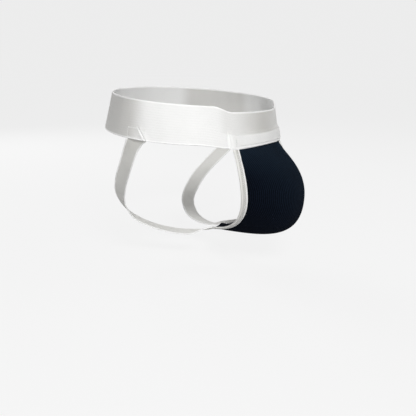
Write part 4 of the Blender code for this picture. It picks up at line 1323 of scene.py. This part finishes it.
# Moulded plastic: cloudy off-white with a fine spark-eroded texture and faint flow marks
cup_plastic = moulded_finish(
    "cup_moulded_plastic", CUP_SHADE, CUP_WHITE, {"Scale": 26.0, "Detail": 4.0, "Distortion": 1.2},
    {"Scale": 1400.0, "Detail": 2.0}, CUP_ROUGH, CUP_GRAIN_DEPTH, gloss=0.45,
)
fit(cup_shell, cup_plastic, "cup_shell", "cup")

bead_turn = np.linspace(0.0, math.tau, BEAD_STATIONS + 1)
bead_x, bead_y = (1 + BEAD_LEAD) * np.cos(bead_turn[:-1]), (1 + BEAD_LEAD) * np.sin(bead_turn[:-1])
bead_path = cup_surface(bead_x, bead_y, BEAD_DEPTH)
bead_heading = unit(np.roll(bead_path, -1, 0) - np.roll(bead_path, 1, 0))
bead_out = square_to(bead_path - bead_path.mean(axis=0), bead_heading)
bead_up = np.cross(bead_heading, bead_out)
bead_length = path_marks(np.concatenate((bead_path, bead_path[:1])))[-1]
half_turn = np.linspace(0.0, math.pi, BEAD_SIDES)
cup_bead = closed_sheet(
    "cup_edge_cushion_bead",
    ring_points(bead_path, bead_out, bead_up, BEAD_RADIUS, half_turn),
    ring_points(bead_path, bead_out, bead_up, BEAD_RADIUS, -half_turn),
    (bead_turn[:, None] / math.tau * bead_length, half_turn * BEAD_RADIUS), "cushion_rubber", looped=True,
)
# Soft bead: extruded grey rubber with a matt, slightly dusty skin
rubber = moulded_finish(
    "grey_soft_rubber", RUBBER_DARK, RUBBER_GREY, {"Scale": 60.0, "Detail": 5.0, "Roughness": 0.65},
    {"Scale": 2200.0, "Detail": 1.0}, RUBBER_ROUGH, RUBBER_SKIN_DEPTH, gloss=0.35,
)
fit(cup_bead, rubber, "cup_edge_cushion", "cup")

# Camera: at the photograph's viewing angle, a little above the band and off the object's right front.
# Its place, aim and focal length are those that fit the edges of the band.
CAMERA_TURN = math.radians(58.0)
CAMERA_DISTANCE = 0.9736
CAMERA_HEIGHT = 0.0655
CAMERA_PAN = math.radians(-1.1416)
CAMERA_PITCH = math.radians(13.0922)
CAMERA_ROLL = math.radians(0.3088)
CAMERA_NEAR = 0.01
FOCAL_PIXELS = 586.09
PHOTO_WIDTH = 416
SENSOR_WIDTH = 36.0

lens = bpy.data.cameras.new("camera")
lens.sensor_width = SENSOR_WIDTH
lens.lens = SENSOR_WIDTH * FOCAL_PIXELS / PHOTO_WIDTH
lens.clip_start = CAMERA_NEAR
camera = new_object("camera", lens)
# Turned round the object and moved out to its place, then panned, tilted down from level, and rolled
camera.matrix_world = (
    Matrix.Rotation(-CAMERA_TURN, 4, "Z") @ Matrix.Translation((0.0, -CAMERA_DISTANCE, CAMERA_HEIGHT))
    @ Matrix.Rotation(CAMERA_PAN, 4, "Z") @ Matrix.Rotation(math.pi / 2 - CAMERA_PITCH, 4, "X")
    @ Matrix.Rotation(CAMERA_ROLL, 4, "Z")
)
bpy.context.scene.camera = camera

# Floor and light: a pale studio floor that keeps the shadow, and large soft lamps near the camera's side.
# The floor and the world share one pale tone, so the floor runs out with no line, and it is clear from below.
FLOOR_DROP = 0.045
FLOOR_HALF = 30.0
FLOOR_GREY = 0.75
FLOOR_ROUGH = 0.95
FLOOR_OWN_TONE = 0.90
PALE_TONE = 0.93
WORLD_LIGHT = 0.08
# Each lamp's name, place, size and power
LAMPS = (
    ("key_lamp", (-1.36, -1.23, 1.10), 0.7, 42.0),
    ("fill_lamp", (1.2, -1.5, 0.9), 1.2, 8.0),
    ("hip_lamp", (-1.5, 0.4, -0.16), 0.6, 1.6),
    ("back_lamp", (0.8, 1.7, 1.0), 1.0, 26.0),
)


def rays_seen(tree):
    """1 on the rays that show a surface, from the camera, off gloss or through glass, and 0 on the rest."""
    rays = add_node(tree, "ShaderNodeLightPath").outputs
    seen = math_of("MAXIMUM", rays["Is Camera Ray"], rays["Is Glossy Ray"])
    return math_of("MAXIMUM", seen, rays["Is Transmission Ray"])


def grey(tone):
    """A colour of one even tone."""
    return (tone, tone, tone, 1.0)


floor_level = cad_box[0][2] - FLOOR_DROP
floor_corners = np.array(((-1.0, -1.0, 0.0), (1.0, -1.0, 0.0), (1.0, 1.0, 0.0), (-1.0, 1.0, 0.0)))
floor_mesh = bpy.data.meshes.new("studio_floor")
floor_mesh.from_pydata((floor_corners * FLOOR_HALF + UP * floor_level).tolist(), [], [(0, 1, 2, 3)])
floor = new_object("studio_floor", floor_mesh)
floor_paper, tree, shader = new_material("floor_paper")
wire(shader, {"Base Color": grey(FLOOR_GREY), "Roughness": FLOOR_ROUGH, "Specular IOR Level": 0.0})
tone = add_node(tree, "ShaderNodeEmission", {"Color": grey(PALE_TONE)})
own_tone = times(rays_seen(tree), FLOOR_OWN_TONE)
paper = add_node(tree, "ShaderNodeMixShader", {0: own_tone, 1: shader.outputs[0], 2: tone.outputs[0]})
below = add_node(tree, "ShaderNodeNewGeometry").outputs["Backfacing"]
clear = add_node(tree, "ShaderNodeBsdfTransparent")
paper = add_node(tree, "ShaderNodeMixShader", {0: below, 1: paper.outputs[0], 2: clear.outputs[0]})
wire(tree.nodes["Material Output"], {"Surface": paper.outputs[0]})
floor_mesh.materials.append(floor_paper)
for name, place, size, power in LAMPS:
    lamp = bpy.data.lights.new(name, "AREA")
    lamp.shape = "DISK"
    lamp.size = size
    lamp.energy = power
    holder = new_object(name, lamp)
    holder.location = place
    holder.rotation_euler = Vector(place).to_track_quat("Z", "Y").to_euler()
far_floor = FLOOR_OWN_TONE * PALE_TONE + (1.0 - FLOOR_OWN_TONE) * FLOOR_GREY * WORLD_LIGHT
world = bpy.data.worlds.new("studio")
world.use_nodes = True
strength = value_between(rays_seen(world.node_tree), WORLD_LIGHT, far_floor)
wire(world.node_tree.nodes["Background"], {"Color": grey(1.0), "Strength": strength})
bpy.context.scene.world = world
bpy.context.scene.view_settings.view_transform = "Standard"
